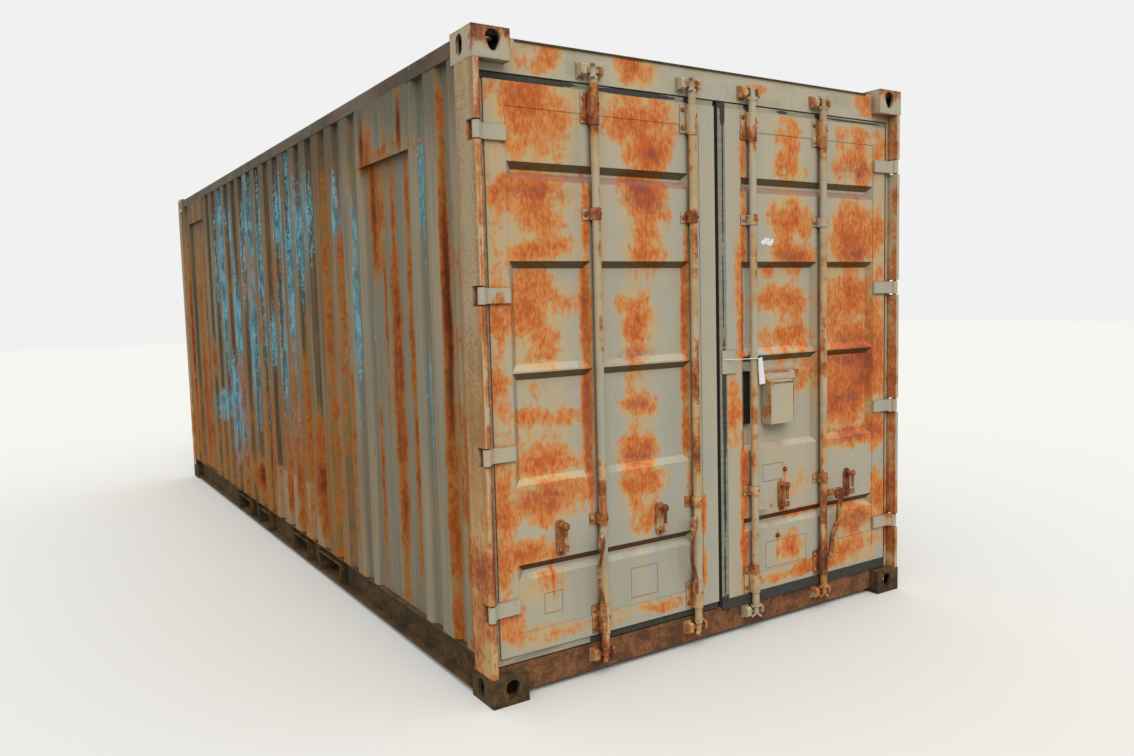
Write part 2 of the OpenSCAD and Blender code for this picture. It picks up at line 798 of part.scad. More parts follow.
// one keeper, drawn in (outward from the rod's axis, along the locked hub, height from the cam's middle)
module keeper(i) {
    back = -(beam_depth - rod_depth);
    base = 6;
    front = 6;
    nose_cut = 10;
    // the larger lug stands on the left of every rod
    for (s = [-1, 1]) {
        large = s * rod_side[i] < 0;
        wid = large ? lug_wid : lug_small;
        half = large ? lug_half : lug_half - 4;
        mirror([0, s < 0 ? 1 : 0, 0]) difference() {
            union() {
                block([back, lug_near - 8, -half - 6], [back + base, lug_near + wid + 6, half + 6]);
                block([back, lug_near, -half], [front, lug_near + wid, half]);
            }
            for (c = [-1, 1]) translate([front, lug_near + wid / 2, c * half]) rotate([0, 45, 0])
                cube([nose_cut, wid + 2 * eps, nose_cut], center = true);
        }
    }
}

// lip that the claw hooks behind, on the lug away from the hub
module keeper_lip() {
    lip_thk = 9;
    lip_half = claw_half - 2;
    block([3 - claw_face, -lug_near, -lip_half], [3 - claw_face + lip_thk, -lip_tip, lip_half]);
}

module keepers_top() {
    color(rust) for (i = [0 : 3]) translate([0, 0, cam_top_z]) on_rod(i, 0) keeper(i);
}
module keepers_bottom() {
    color(dark_rust) for (i = [0 : 3]) translate([0, 0, cam_low_z]) on_rod(i, 0) keeper(i);
}
module keeper_lips() {
    color(rust) for (i = [0 : 3], z = [cam_low_z, cam_top_z]) translate([0, 0, z]) on_rod(i, 0) keeper_lip();
}

// cam with four horns, a claw and the socket that holds the rod's end below it
module cam() {
    horn = 8;
    notch = 15;
    waist_z = claw_half + 5;
    inner = cam_wing - horn;
    translate([cam_half_thk, 0, 0]) rotate([90, 0, -90]) linear_extrude(2 * cam_half_thk)
        polygon([
            [-cam_wing, cam_half], [-inner, cam_half], [0, cam_half - notch], [inner, cam_half],
            [cam_wing, cam_half], [cam_wing, cam_half - horn], [cam_waist, waist_z], [cam_waist, -waist_z],
            [cam_wing, -cam_half + horn], [cam_wing, -cam_half],
            [-cam_wing, -cam_half], [-cam_wing, -cam_half + horn], [-cam_waist, -waist_z],
            [-cam_waist, waist_z], [-cam_wing, cam_half - horn]
        ]);
    translate([0, 0, -cam_half - socket_hgt]) cylinder(r = rod_r + 1, h = socket_hgt + horn);
    translate([0, 0, -cam_half]) cylinder(r = cam_waist + 1, h = 2 * cam_half - notch - 5);
    // claw behind the rod, on the side away from the hub
    translate([0, 0, -claw_half]) intersection() {
        cylinder(r = claw_r, h = 2 * claw_half);
        union() {
            block([-claw_r, -claw_r, 0], [-claw_face, 4, 2 * claw_half]);
            block([-claw_r, -6, 0], [0, 6, 2 * claw_half]);
        }
    }
}

// flat tab with the hole for the handle's pin
module hub() {
    difference() {
        translate([-hub_plate / 2, 0, hub_z]) rotate([90, 0, 90]) linear_extrude(hub_plate) difference() {
            polygon(concat(
                [[0, hub_half], [0, -hub_half]],
                [for (a = [-90 : 15 : 90]) [hub_reach + hub_half * cos(a), hub_half * sin(a)]]
            ));
            translate([hub_reach, 0]) circle(handle_pin_r + pin_fit);
        }
        translate([0, 0, hub_z - hub_half - eps]) cylinder(r = rod_r, h = 2 * hub_half + 2 * eps);
    }
}

module collar(z) {
    translate([0, 0, z]) difference() {
        cylinder(r = rod_r + 4, h = collar_hgt);
        translate([0, 0, -eps]) cylinder(r = rod_r, h = collar_hgt + 2 * eps);
    }
}

rod_top = cam_top_z - cam_half - socket_hgt;
rod_foot = cam_low_z + cam_half + socket_hgt;

module lock_rod(i) {
    color(rust) on_rod(i, rod_turn[i]) translate([0, 0, rod_foot]) cylinder(r = rod_r, h = rod_top - rod_foot);
}

module lock_rod_1() { lock_rod(0); }
module lock_rod_2() { lock_rod(1); }
module lock_rod_3() { lock_rod(2); }
module lock_rod_4() { lock_rod(3); }

// the pieces welded to a rod: a cam at each end, the hub and two collars
module cam_set(i) {
    color(rust) on_rod(i, rod_turn[i]) {
        translate([0, 0, cam_top_z]) cam();
        translate([0, 0, cam_low_z]) mirror([0, 0, 1]) cam();
        hub();
        collar(door_top - bearing_top_drop - bearing_hgt / 2 - collar_gap - collar_hgt);
        collar(bearing_low_z + bearing_hgt / 2 + collar_gap);
    }
}

module cam_set_1() { cam_set(0); }
module cam_set_2() { cam_set(1); }
module cam_set_3() { cam_set(2); }
module cam_set_4() { cam_set(3); }

// centre line of a hanging handle, as (distance from the pin, height under it)
function handle_line() = [
    [crank_out, -fork_gap_z], [crank_out, -handle_len * 0.2], [crank_out - 3, -handle_len * 0.46],
    [crank_out - crank_in - 2, -handle_len * 0.72], [-crank_in, -handle_len]
];
// its bends seen along the hub, as (distance outward, height under the pin)
function handle_bends() = [
    [0, 0], [0, -handle_len * 0.14], [-bend_in, -handle_len * 0.36], [-bend_in, -handle_len * 0.6],
    [0, -handle_len * 0.86], [0, -handle_len - handle_wid]
];

// point beside vertex k of a line, at distance r from both of its runs
function beside(line, k, r) =
    let (last = len(line) - 1, a = max(k, 1), b = min(k, last - 1),
         run_in = (line[a] - line[a - 1]) / norm(line[a] - line[a - 1]),
         run_out = (line[b + 1] - line[b]) / norm(line[b + 1] - line[b]),
         n_in = [-run_in[1], run_in[0]], n_out = [-run_out[1], run_out[0]])
    line[k] + r * (n_in + n_out) / (1 + n_in * n_out);

function one_side(line, r) = [for (k = [0 : len(line) - 1]) beside(line, k, r)];

// flat bar along the handle's line, with a rounded tip
module handle_2d() {
    line = handle_line();
    last = len(line) - 1;
    r = handle_wid / 2;
    run = line[last] - line[last - 1];
    lean = atan2(run[1], run[0]);
    polygon(concat(
        one_side(line, r),
        [for (a = [72 : -18 : -72]) line[last] + r * [cos(lean + a), sin(lean + a)]],
        reversed(one_side(line, -r))
    ));
}

// cheek of the fork that holds the handle on its hub
module cheek_2d() {
    circle(cheek_r);
    polygon([[-8, -cheek_foot], [fork_reach, -cheek_foot], [fork_reach, 14], [fork_reach - 7, cheek_r + 2],
             [0, cheek_r + 2], [-8, 12]]);
}

module handle(i) {
    inner = hub_plate / 2 + handle_gap;
    outer = inner + cheek_thk;
    color(rust) on_rod(i, rod_turn[i]) translate([0, hub_reach, hub_z]) union() {
        intersection() {
            translate([-bend_in - outer, 0, 0]) rotate([90, 0, 90])
                linear_extrude(bend_in + 2 * outer) handle_2d();
            translate([0, 2 * handle_wid, 0]) rotate([90, 0, 0]) linear_extrude(4 * handle_wid + crank_in)
                polygon(concat(one_side(handle_bends(), inner), reversed(one_side(handle_bends(), -inner))));
        }
        for (x = [-outer, inner]) translate([x, 0, 0]) rotate([90, 0, 90]) linear_extrude(cheek_thk) cheek_2d();
        block([-outer, fork_reach - cheek_thk, -cheek_foot], [outer, fork_reach, 14]);
        translate([-outer - 3, 0, 0]) rotate([0, 90, 0]) cylinder(r = handle_pin_r, h = 2 * (outer + 3));
    }
}

module handle_1() { handle(0); }
module handle_2() { handle(1); }
module handle_4() { handle(3); }

// one door's frame, sheet, gasket and fittings between its two edges y0 and y1
module door_frame(y0, y1) {
    color(paint) at_door_end() difference() {
        block([door_depth, y0, door_bottom], [door_back, y1, door_top]);
        block([door_depth - eps, y0 + stile_wid, door_bottom + low_rail_hgt],
              [door_back + eps, y1 - stile_wid, door_top - top_rail_hgt]);
    }
}

left_edges = [-door_hinge_edge, -left_free];
right_edges = [right_free, door_hinge_edge];

module door_left_frame() { door_frame(left_edges[0], left_edges[1]); }
module door_right_frame() { door_frame(right_edges[0], right_edges[1]); }

// pressed sheet between the frame members; pans lists [y0, y1, z0, z1] at the outer level
module pressed_sheet(y0, y1, pans) {
    z0 = door_bottom + low_rail_hgt;
    z1 = door_top - top_rail_hgt;
    difference() {
        union() {
            block([sheet_depth, y0, z0], [sheet_depth + sheet_thk, y1, z1]);
            for (p = pans)
                pan(sheet_depth + eps, pan_floor + sheet_thk, p[0] - sheet_thk, p[1] + sheet_thk,
                    p[2] - sheet_thk, p[3] + sheet_thk, pan_slope);
        }
        for (p = pans) pan(sheet_depth - 0.01, pan_floor, p[0], p[1], p[2], p[3], pan_slope);
    }
}

module door_left_sheet() {
    y0 = left_edges[0] + stile_wid;
    y1 = left_edges[1] - stile_wid;
    a = y0 + 3;
    b = y1 - left_plain;
    mid = rod_y[0];
    color(paint) at_door_end() pressed_sheet(y0, y1, concat(
        [for (g = [groove_low, groove_high]) [a, b, door_level(g[0]), door_level(g[1])]],
        [for (g = [pan_low, pan_high], s = [[a, mid - pan_ridge / 2], [mid + pan_ridge / 2, b]])
            [s[0], s[1], door_level(g[0]), door_level(g[1])]]
    ));
}

module door_right_sheet() {
    y0 = right_edges[0] + stile_wid;
    y1 = right_edges[1] - stile_wid;
    a = y0 + right_plain;
    b = y1 - 3;
    mid = rod_y[3];
    color(paint) at_door_end() pressed_sheet(y0, y1, concat(
        [for (g = [groove_low, groove_high]) [a, b, door_level(g[0]), door_level(g[1])]],
        [for (g = [pan_low, pan_high], s = [[a, mid - pan_ridge / 2], [mid + pan_ridge / 2, b]])
            [s[0], s[1], door_level(g[0]), door_level(g[1])]]
    ));
}

// rubber round a door: strips widths at the left, right, top and foot
module gasket(y0, y1, left, right) {
    difference() {
        block([gasket_depth, y0 - left, door_bottom - gasket_foot],
              [gasket_depth + gasket_thk, y1 + right, door_top + gasket_top]);
        block([gasket_depth - eps, y0, door_bottom], [gasket_depth + gasket_thk + eps, y1, door_top]);
    }
}

module door_left_gasket() {
    color(rubber) at_door_end() gasket(left_edges[0], left_edges[1], gasket_side, 0);
}

module door_right_gasket() {
    y0 = right_edges[0];
    y1 = right_edges[1];
    color(rubber) at_door_end() union() {
        gasket(y0, y1, centre_strip, gasket_side);
        block([door_depth, y0 - centre_strip, door_bottom - gasket_foot],
              [gasket_depth + eps, y0, door_top + gasket_top]);
        block([lip_depth, y0 - centre_strip, door_bottom - lip_hgt], [lip_depth + 5, y1, door_bottom]);
        block([lip_depth, y0 - centre_strip, door_bottom - gasket_foot],
              [gasket_depth + eps, y1, door_bottom]);
    }
}

// hinge blade with its knuckle, in the corner's frame
module hinge_blade(z) {
    end = door_side + stile_wid;
    front = door_depth - blade_thk;
    difference() {
        union() {
            translate([pin_depth, pin_side, z - knuckle_hgt / 2]) cylinder(r = knuckle_r, h = knuckle_hgt);
            translate([0, 0, z - blade_hgt / 2]) linear_extrude(blade_hgt) polygon([
                [pin_depth, pin_side - knuckle_r + 1], [door_depth, pin_side + 3], [door_depth, end],
                [front, end], [front, pin_side + knuckle_r + 20], [pin_depth, pin_side + knuckle_r - 1]
            ]);
        }
        translate([pin_depth, pin_side, z - knuckle_hgt / 2 - eps])
            cylinder(r = pin_r + bore_fit, h = knuckle_hgt + 2 * eps);
    }
}

module door_left_hinges() { color(paint) at_corner(1, -1) for (z = hinge_z) hinge_blade(z); }
module door_right_hinges() { color(paint) at_corner(1, 1) for (z = hinge_z) hinge_blade(z); }

// saddle bracket over a rod, bolted to a face at the given depth, with its flange towards -Y
module bracket(i, z, height, face) {
    inner = rod_r + strap_gap;
    outer = inner + strap_thk;
    seat = face - rod_depth;
    base = 3.5;
    translate([rod_depth, rod_y[i], z - height / 2]) linear_extrude(height) difference() {
        union() {
            circle(outer);
            translate([0, -outer]) square([seat, 2 * outer]);
            translate([seat - base, -flange_reach]) square([base, flange_reach + outer + 3]);
        }
        circle(inner);
        translate([0, -inner]) square([seat - base, 2 * inner]);
    }
}

module rod_brackets(i) {
    bracket(i, door_top - bearing_top_drop, bearing_hgt, door_depth);
    bracket(i, door_level(guide_level), guide_hgt, sheet_depth);
    bracket(i, guide_low_z, guide_hgt, sheet_depth);
    bracket(i, bearing_low_z, bearing_hgt, door_depth);
}

module door_left_brackets() { color(rust) at_door_end() for (i = [0, 1]) rod_brackets(i); }
module door_right_brackets() { color(rust) at_door_end() for (i = [2, 3]) rod_brackets(i); }

// handle retainer: back plate, hook under the handle and boss for the catch
module retainer(i) {
    y = rod_y[i] + rod_side[i] * retainer_off;
    plate_front = sheet_depth - retainer_thk;
    foot = retainer_z - retainer_drop;
    hook_top = hub_z - handle_wid / 2 - 6;
    hook_thk = 10;
    lip_front = 4;
    translate([0, y, 0]) union() {
        translate([sheet_depth, 0, 0]) rotate([0, -90, 0]) linear_extrude(retainer_thk) union() {
            translate([foot, -retainer_half]) square([retainer_drop, 2 * retainer_half]);
            translate([foot, 0]) circle(retainer_half);
            translate([retainer_z, 0]) circle(retainer_half);
        }
        block([lip_front, -14, hook_top - hook_thk], [plate_front + eps, 14, hook_top]);
        block([lip_front, -14, hook_top - hook_thk], [lip_front + 7, 14, hook_top + 16]);
        translate([plate_front + eps, 0, retainer_z]) rotate([0, -90, 0])
            cylinder(r = 11, h = plate_front + eps - boss_front);
        translate([boss_front + eps, 0, retainer_z]) rotate([0, -90, 0])
            cylinder(r = catch_pin_r, h = boss_front + eps - 0.5);
    }
}

module door_left_retainers() { color(rust) at_door_end() for (i = [0, 1]) retainer(i); }
module door_right_retainers() { color(rust) at_door_end() for (i = [2, 3]) retainer(i); }

// swivelling catch, which hangs in front of the hook and swings up towards the rod
module catch(i) {
    y = rod_y[i] + rod_side[i] * retainer_off;
    front = 2;
    thk = boss_front - front - pin_fit;
    color(rust) at_door_end() translate([front + thk, y, retainer_z]) rotate([0, -90, 0])
        linear_extrude(thk) difference() {
            union() {
                circle(18);
                translate([-catch_len, -7]) square([catch_len, 14]);
                translate([-catch_len, 0]) circle(8);
            }
            circle(catch_pin_r + pin_fit);
        }
}

module catch_1() { catch(0); }
module catch_2() { catch(1); }
module catch_3() { catch(2); }
module catch_4() { catch(3); }

// sheet-metal box over the padlock, open underneath, with a hood strip above
module lock_box() {
    wall = 4;
    y1 = lockbox_y + lockbox_wid;
    z0 = door_level(lockbox_level);
    z1 = z0 + lockbox_hgt;
    color(paint) at_door_end() union() {
        difference() {
            block([lockbox_depth, lockbox_y, z0], [pan_floor, y1, z1]);
            block([lockbox_depth + wall, lockbox_y + wall, z0 - eps],
                  [pan_floor + eps, y1 - wall, z1 - wall]);
        }
        block([door_depth - 4, lockbox_y - hood_left, z1 - eps], [pan_floor, y1 + hood_right, z1 + hood_hgt]);
    }
}

// plate on the right door's free edge, over the rubber strip
module centre_plate() {
    color(paint) at_door_end()
        block([door_depth - 6, right_free - centre_left, door_level(centre_level) - centre_hgt / 2],
              [door_depth, right_free + centre_right, door_level(centre_level) + centre_hgt / 2]);
}

corner_fittings_top();
corner_fittings_bottom();
rear_posts();
hinge_pins();
front_posts();
top_side_rails();
bottom_side_rails();
front_top_rail();
front_bottom_rail();
door_header();
door_sill();
cross_members();
fork_pockets();
floor_boards();
roof_sheet();
side_wall_left();
side_wall_right();
front_wall();
vent_covers();
keepers_top();
keepers_bottom();
keeper_lips();
door_left_frame();
door_left_sheet();
door_left_gasket();
door_left_hinges();
door_left_brackets();
door_left_retainers();
door_right_frame();
door_right_sheet();
door_right_gasket();
door_right_hinges();
door_right_brackets();
door_right_retainers();
lock_box();
centre_plate();
lock_rod_1();
lock_rod_2();
lock_rod_3();
lock_rod_4();
cam_set_1();
cam_set_2();
cam_set_3();
cam_set_4();
handle_1();
handle_2();
handle_4();
catch_1();
catch_2();
catch_3();
catch_4();
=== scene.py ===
"""A weathered twenty-foot freight container, finished round its steel frame. Lengths are in metres."""

import json
import math

import bpy
from mathutils import Matrix, Vector


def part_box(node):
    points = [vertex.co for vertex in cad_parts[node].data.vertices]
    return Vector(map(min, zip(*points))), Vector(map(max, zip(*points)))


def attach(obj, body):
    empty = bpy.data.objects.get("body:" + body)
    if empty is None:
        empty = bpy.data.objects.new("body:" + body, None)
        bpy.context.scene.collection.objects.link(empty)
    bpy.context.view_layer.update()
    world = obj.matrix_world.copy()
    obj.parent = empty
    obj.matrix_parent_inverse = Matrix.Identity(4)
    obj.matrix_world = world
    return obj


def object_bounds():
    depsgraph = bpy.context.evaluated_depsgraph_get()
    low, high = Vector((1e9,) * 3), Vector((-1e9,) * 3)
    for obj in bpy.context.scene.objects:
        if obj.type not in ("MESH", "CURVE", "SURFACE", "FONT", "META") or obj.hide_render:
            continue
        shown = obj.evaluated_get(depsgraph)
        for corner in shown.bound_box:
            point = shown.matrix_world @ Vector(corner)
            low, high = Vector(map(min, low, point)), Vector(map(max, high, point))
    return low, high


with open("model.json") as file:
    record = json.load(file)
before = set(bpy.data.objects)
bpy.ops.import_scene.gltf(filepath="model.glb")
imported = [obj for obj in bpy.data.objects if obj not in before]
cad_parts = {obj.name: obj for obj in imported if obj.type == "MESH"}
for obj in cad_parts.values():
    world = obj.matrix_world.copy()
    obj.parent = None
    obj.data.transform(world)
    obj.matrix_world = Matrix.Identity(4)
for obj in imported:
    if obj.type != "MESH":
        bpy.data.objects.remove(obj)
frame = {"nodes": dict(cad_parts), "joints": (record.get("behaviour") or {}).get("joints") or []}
bpy.ops.object.select_all(action="DESELECT")
cad_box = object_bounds()

# Places on the container that the finish and the small pieces are set by
fittings_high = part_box("corner_fittings_top")[1]
DOOR_END = fittings_high.x
SIDE = fittings_high.y
TOP = cad_box[1].z
DOOR_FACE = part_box("door_left_frame")[1].x
SHEET_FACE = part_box("door_left_sheet")[1].x
DOOR_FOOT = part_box("door_left_frame")[0].z
DOOR_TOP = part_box("door_left_frame")[1].z
PIVOTS = {joint["child"]: Vector(joint["pos_m"]) for joint in frame["joints"]}
RODS = [PIVOTS["rod_%d" % number] for number in (1, 2, 3, 4)]
CATCHES = [PIVOTS["catch_%d" % number] for number in (1, 2, 3, 4)]
DOOR_OF_ROD = ["left_door", "left_door", "right_door", "right_door"]


def srgb(red, green, blue):
    """A colour given as a screen shows it, 0 to 255, as linear light."""
    def linear(value):
        value = value / 255
        return value / 12.92 if value < 0.04045 else ((value + 0.055) / 1.055) ** 2.4
    return (linear(red), linear(green), linear(blue), 1.0)


# Camera and light

CAMERA_PLACE = Vector((6.009, -2.751, 1.577))
CAMERA_RIGHT = Vector((0.5409, 0.8407, -0.0257)).normalized()
CAMERA_AHEAD = Vector((-0.8391, 0.5372, -0.0865)).normalized()
CAMERA_LENS = 28.34
SENSOR = 36.0


def place_camera():
    up = CAMERA_RIGHT.cross(CAMERA_AHEAD).normalized()
    data = bpy.data.cameras.new("camera")
    data.lens = CAMERA_LENS
    data.sensor_width = SENSOR
    data.clip_end = 200
    camera = bpy.data.objects.new("camera", data)
    bpy.context.scene.collection.objects.link(camera)
    turn = Matrix((CAMERA_RIGHT, up, -CAMERA_AHEAD)).transposed()
    camera.matrix_world = Matrix.Translation(CAMERA_PLACE) @ turn.to_4x4()
    bpy.context.scene.camera = camera


def light_scene():
    """A pale dome, brighter overhead, and one wide lamp high on the left of the doors."""
    world = bpy.data.worlds.new("studio")
    bpy.context.scene.world = world
    world.use_nodes = True
    tree = world.node_tree
    tree.nodes.clear()
    place = tree.nodes.new("ShaderNodeTexCoord")
    parts = tree.nodes.new("ShaderNodeSeparateXYZ")
    rise = tree.nodes.new("ShaderNodeMapRange")
    rise.inputs["From Min"].default_value = -0.05
    rise.inputs["To Min"].default_value = 0.45
    rise.inputs["To Max"].default_value = 1.3
    dome = tree.nodes.new("ShaderNodeBackground")
    dome.inputs["Color"].default_value = (0.98, 0.99, 1.0, 1)
    shown = tree.nodes.new("ShaderNodeBackground")
    shown.inputs["Color"].default_value = srgb(240, 241, 240)
    path = tree.nodes.new("ShaderNodeLightPath")
    pick = tree.nodes.new("ShaderNodeMixShader")
    out = tree.nodes.new("ShaderNodeOutputWorld")
    tree.links.new(place.outputs["Generated"], parts.inputs[0])
    tree.links.new(parts.outputs["Z"], rise.inputs["Value"])
    tree.links.new(rise.outputs[0], dome.inputs["Strength"])
    tree.links.new(path.outputs["Is Camera Ray"], pick.inputs[0])
    tree.links.new(dome.outputs[0], pick.inputs[1])
    tree.links.new(shown.outputs[0], pick.inputs[2])
    tree.links.new(pick.outputs[0], out.inputs["Surface"])
    lamp = bpy.data.lights.new("high_lamp", "SUN")
    lamp.energy = 1.35
    lamp.angle = math.radians(50)
    lamp.color = (1.0, 0.985, 0.95)
    holder = bpy.data.objects.new("high_lamp", lamp)
    bpy.context.scene.collection.objects.link(holder)
    aim = Vector((-0.70, 0.30, -0.85)).normalized()
    holder.rotation_euler = aim.to_track_quat("-Z", "Y").to_euler()


# Recipes for the finishes

class Recipe:
    """The nodes of one material, with short calls that add and join them."""

    def __init__(self, name):
        self.material = bpy.data.materials.new(name)
        self.material.use_nodes = True
        self.tree = self.material.node_tree
        self.tree.nodes.clear()
        self.surface = self.add("ShaderNodeBsdfPrincipled")
        out = self.add("ShaderNodeOutputMaterial")
        self.tree.links.new(self.surface.outputs[0], out.inputs[0])
        coords = self.add("ShaderNodeTexCoord")
        self.place = coords.outputs["Object"]
        self.x, self.y, self.z = self.add("ShaderNodeSeparateXYZ", self.place).outputs
        facing = self.add("ShaderNodeSeparateXYZ", coords.outputs["Normal"])
        self.face_x, self.face_y, self.face_z = facing.outputs

    def add(self, kind, *inputs, **settings):
        node = self.tree.nodes.new(kind)
        for key, value in settings.items():
            setattr(node, key, value)
        for socket, value in zip(node.inputs, inputs):
            self.put(socket, value)
        return node

    def put(self, socket, value):
        if isinstance(value, bpy.types.NodeSocket):
            self.tree.links.new(value, socket)
        elif value is not None:
            socket.default_value = value

    def calc(self, operation, a, b=None, c=None, clamp=False):
        return self.add("ShaderNodeMath", a, b, c, operation=operation, use_clamp=clamp).outputs[0]

    def plus(self, *terms):
        total = terms[0]
        for term in terms[1:]:
            total = self.calc("ADD", total, term)
        return total

    def times(self, *terms):
        product = terms[0]
        for term in terms[1:]:
            product = self.calc("MULTIPLY", product, term)
        return product

    def largest(self, values):
        top = values[0]
        for value in values[1:]:
            top = self.calc("MAXIMUM", top, value)
        return top

    def less(self, value):
        """What is left of one."""
        return self.calc("SUBTRACT", 1.0, value)

    def step(self, value, low, high):
        """0 below low, 1 above high, with an eased rise between them."""
        return self.add("ShaderNodeMapRange", value, low, high, interpolation_type="SMOOTHSTEP").outputs[0]

    def between(self, value, low, high, ease):
        """1 from low to high, easing to 0 outside."""
        rise = self.step(value, low - ease, low + ease)
        return self.times(rise, self.step(value, high + ease, high - ease))

    def vector(self, x, y, z):
        return self.add("ShaderNodeCombineXYZ", x, y, z).outputs[0]

    def noise(self, scale, detail=4, rough=0.55, at=None, bend=0.0):
        """Noise of a scale, or of three scales where it is stretched."""
        if isinstance(scale, tuple):
            at = self.add("ShaderNodeVectorMath", at or self.place, scale, operation="MULTIPLY").outputs[0]
            scale = 1.0
        node = self.add("ShaderNodeTexNoise")
        self.put(node.inputs["Vector"], at or self.place)
        self.put(node.inputs["Scale"], scale)
        self.put(node.inputs["Detail"], detail)
        self.put(node.inputs["Roughness"], rough)
        self.put(node.inputs["Distortion"], bend)
        return node.outputs[0]

    def swing(self, value, reach):
        """Noise turned into a value that swings as far below zero as above it."""
        return self.add("ShaderNodeMapRange", value, 0.0, 1.0, -reach, reach).outputs[0]

    def blend(self, share, a, b):
        node = self.add("ShaderNodeMix", data_type="RGBA")
        self.put(node.inputs[0], share)
        self.put(node.inputs[6], a)
        self.put(node.inputs[7], b)
        return node.outputs[2]

    def marks(self, across, up, spots):
        """Soft spots at listed places: middle across and up, half width, half height (mm) and strength."""
        at = self.vector(across, 0.0, up)
        found = []
        for middle, level, half_wid, half_hgt, strength in spots:
            spot = self.add("ShaderNodeMapping", at, vector_type="TEXTURE")
            spot.inputs["Location"].default_value = (middle / 1000, 0, level / 1000)
            reach = SPOT_SPREAD / 1000
            spot.inputs["Scale"].default_value = (half_wid * reach, 1, half_hgt * reach)
            ball = self.add("ShaderNodeTexGradient", spot.outputs[0], gradient_type="SPHERICAL")
            found.append(self.times(ball.outputs["Fac"], strength * SPOT_LIFT))
        return self.calc("MINIMUM", self.largest(found), 1.1)

    def worn_edge(self, radius=0.004):
        """0 on flat faces, rising along outer and inner edges."""
        bevel = self.add("ShaderNodeBevel", radius, samples=3)
        plain = self.add("ShaderNodeNewGeometry").outputs["Normal"]
        match = self.add("ShaderNodeVectorMath", bevel.outputs[0], plain, operation="DOT_PRODUCT")
        return self.step(match.outputs["Value"], 0.995, 0.85)

    def crevice(self, reach=0.03):
        """1 deep in corners and gaps, falling to 0 on open faces: where dirt and painted shade are laid."""
        open_sky = self.add("ShaderNodeAmbientOcclusion", samples=6)
        open_sky.inputs["Distance"].default_value = reach
        return self.step(open_sky.outputs["AO"], 0.78, 0.35)

    def finish(self, colour, rough, height=None, depth=0.002, specular=0.4):
        self.put(self.surface.inputs["Base Color"], colour)
        self.put(self.surface.inputs["Roughness"], rough)
        self.surface.inputs["Specular IOR Level"].default_value = specular
        if height is not None:
            bump = self.add("ShaderNodeBump")
            bump.inputs["Distance"].default_value = depth
            self.put(bump.inputs["Height"], height)
            self.put(self.surface.inputs["Normal"], bump.outputs[0])
        return self.material


# How far past its half width a spot fades out, and how fast it fills up towards its middle
SPOT_SPREAD = 2.1
SPOT_LIFT = 1.45

# Colours of the old paint and its rust, and of the dirt and painted shade in its corners, gaps and hollows
PAINT = srgb(192, 182, 157)
PAINT_WARM = srgb(200, 180, 142)
PAINT_COOL = srgb(180, 176, 160)
PAINT_GREEN = srgb(158, 156, 118)
DULL_PAINT = srgb(150, 144, 122)
# Dirt specks in the paint, and painted shade on the door slopes that look down or sideways
GRIME_AND_SHADE = srgb(82, 62, 26)
OCHRE = srgb(210, 176, 120)
AMBER = srgb(224, 150, 82)
ORANGE = srgb(210, 108, 46)
ORANGE_DEEP = srgb(196, 88, 40)
RED_BROWN = srgb(152, 76, 62)
CORE = srgb(92, 46, 36)
PURPLE = srgb(124, 92, 96)
PINK = srgb(164, 94, 72)
BLUE = srgb(120, 190, 208)
BLUE_DEEP = srgb(70, 122, 138)
OCHRE_WASH = srgb(170, 137, 57)
FRECKLE = srgb(158, 98, 34)
SCRAPE_RED = srgb(138, 78, 74)
SCRAPE_DARK = srgb(74, 58, 68)
# Painted shade on the low ledge's slopes that look down
LEDGE_SHADE = srgb(96, 48, 28)
EDGE_BROWN = srgb(122, 78, 42)
EDGE_RED = srgb(132, 62, 36)
# Dirt and painted shade in the doors' corners and gaps
GAP_DIRT_AND_SHADE_BROWN = srgb(70, 44, 22)
# Dirt and painted shade in the corners and gaps of posts, hinges and walls
GAP_DIRT_AND_SHADE_GREY = srgb(62, 50, 34)
# Painted shade deep in the corner fittings' holes and corners, and on their inside walls
FITTING_SHADE_BLACK = srgb(26, 20, 17)
HOLE_SHADE_BLACK = srgb(22, 16, 14)

# Rust tones: the stain round a spot, then its thin, full and deep rust, and its core
DOOR_TONES = (OCHRE, AMBER, ORANGE, ORANGE_DEEP, RED_BROWN)
SIDE_TONES = (srgb(160, 120, 62), srgb(178, 112, 48), srgb(160, 82, 32), srgb(142, 64, 26), srgb(96, 44, 26))
FRAME_TONES = (OCHRE, srgb(204, 134, 70), srgb(178, 92, 44), srgb(146, 72, 44), srgb(108, 56, 46))
GEAR_TONES = (OCHRE, srgb(196, 128, 70), srgb(158, 84, 46), srgb(112, 58, 40), srgb(74, 38, 32))
FITTING_TONES = (OCHRE, srgb(196, 134, 84), srgb(150, 88, 58), srgb(108, 62, 52), srgb(84, 46, 44))


def old_paint(r):
    """Chalky paint: warm and cool clouds, faint upright runs and specks."""
    cloud = r.noise(1.3, 5, 0.6)
    runs = r.noise((9, 9, 0.7), 5, 0.6)
    speck = r.noise(60, 4, 0.6)
    colour = r.blend(r.step(cloud, 0.38, 0.66), PAINT_COOL, PAINT)
    colour = r.blend(r.times(r.step(runs, 0.45, 0.7), 0.6), colour, PAINT_WARM)
    colour = r.blend(r.times(r.step(runs, 0.46, 0.25), 0.3), colour, PAINT_GREEN)
    return r.blend(r.times(r.step(speck, 0.55, 0.8), 0.16), colour, GRIME_AND_SHADE)


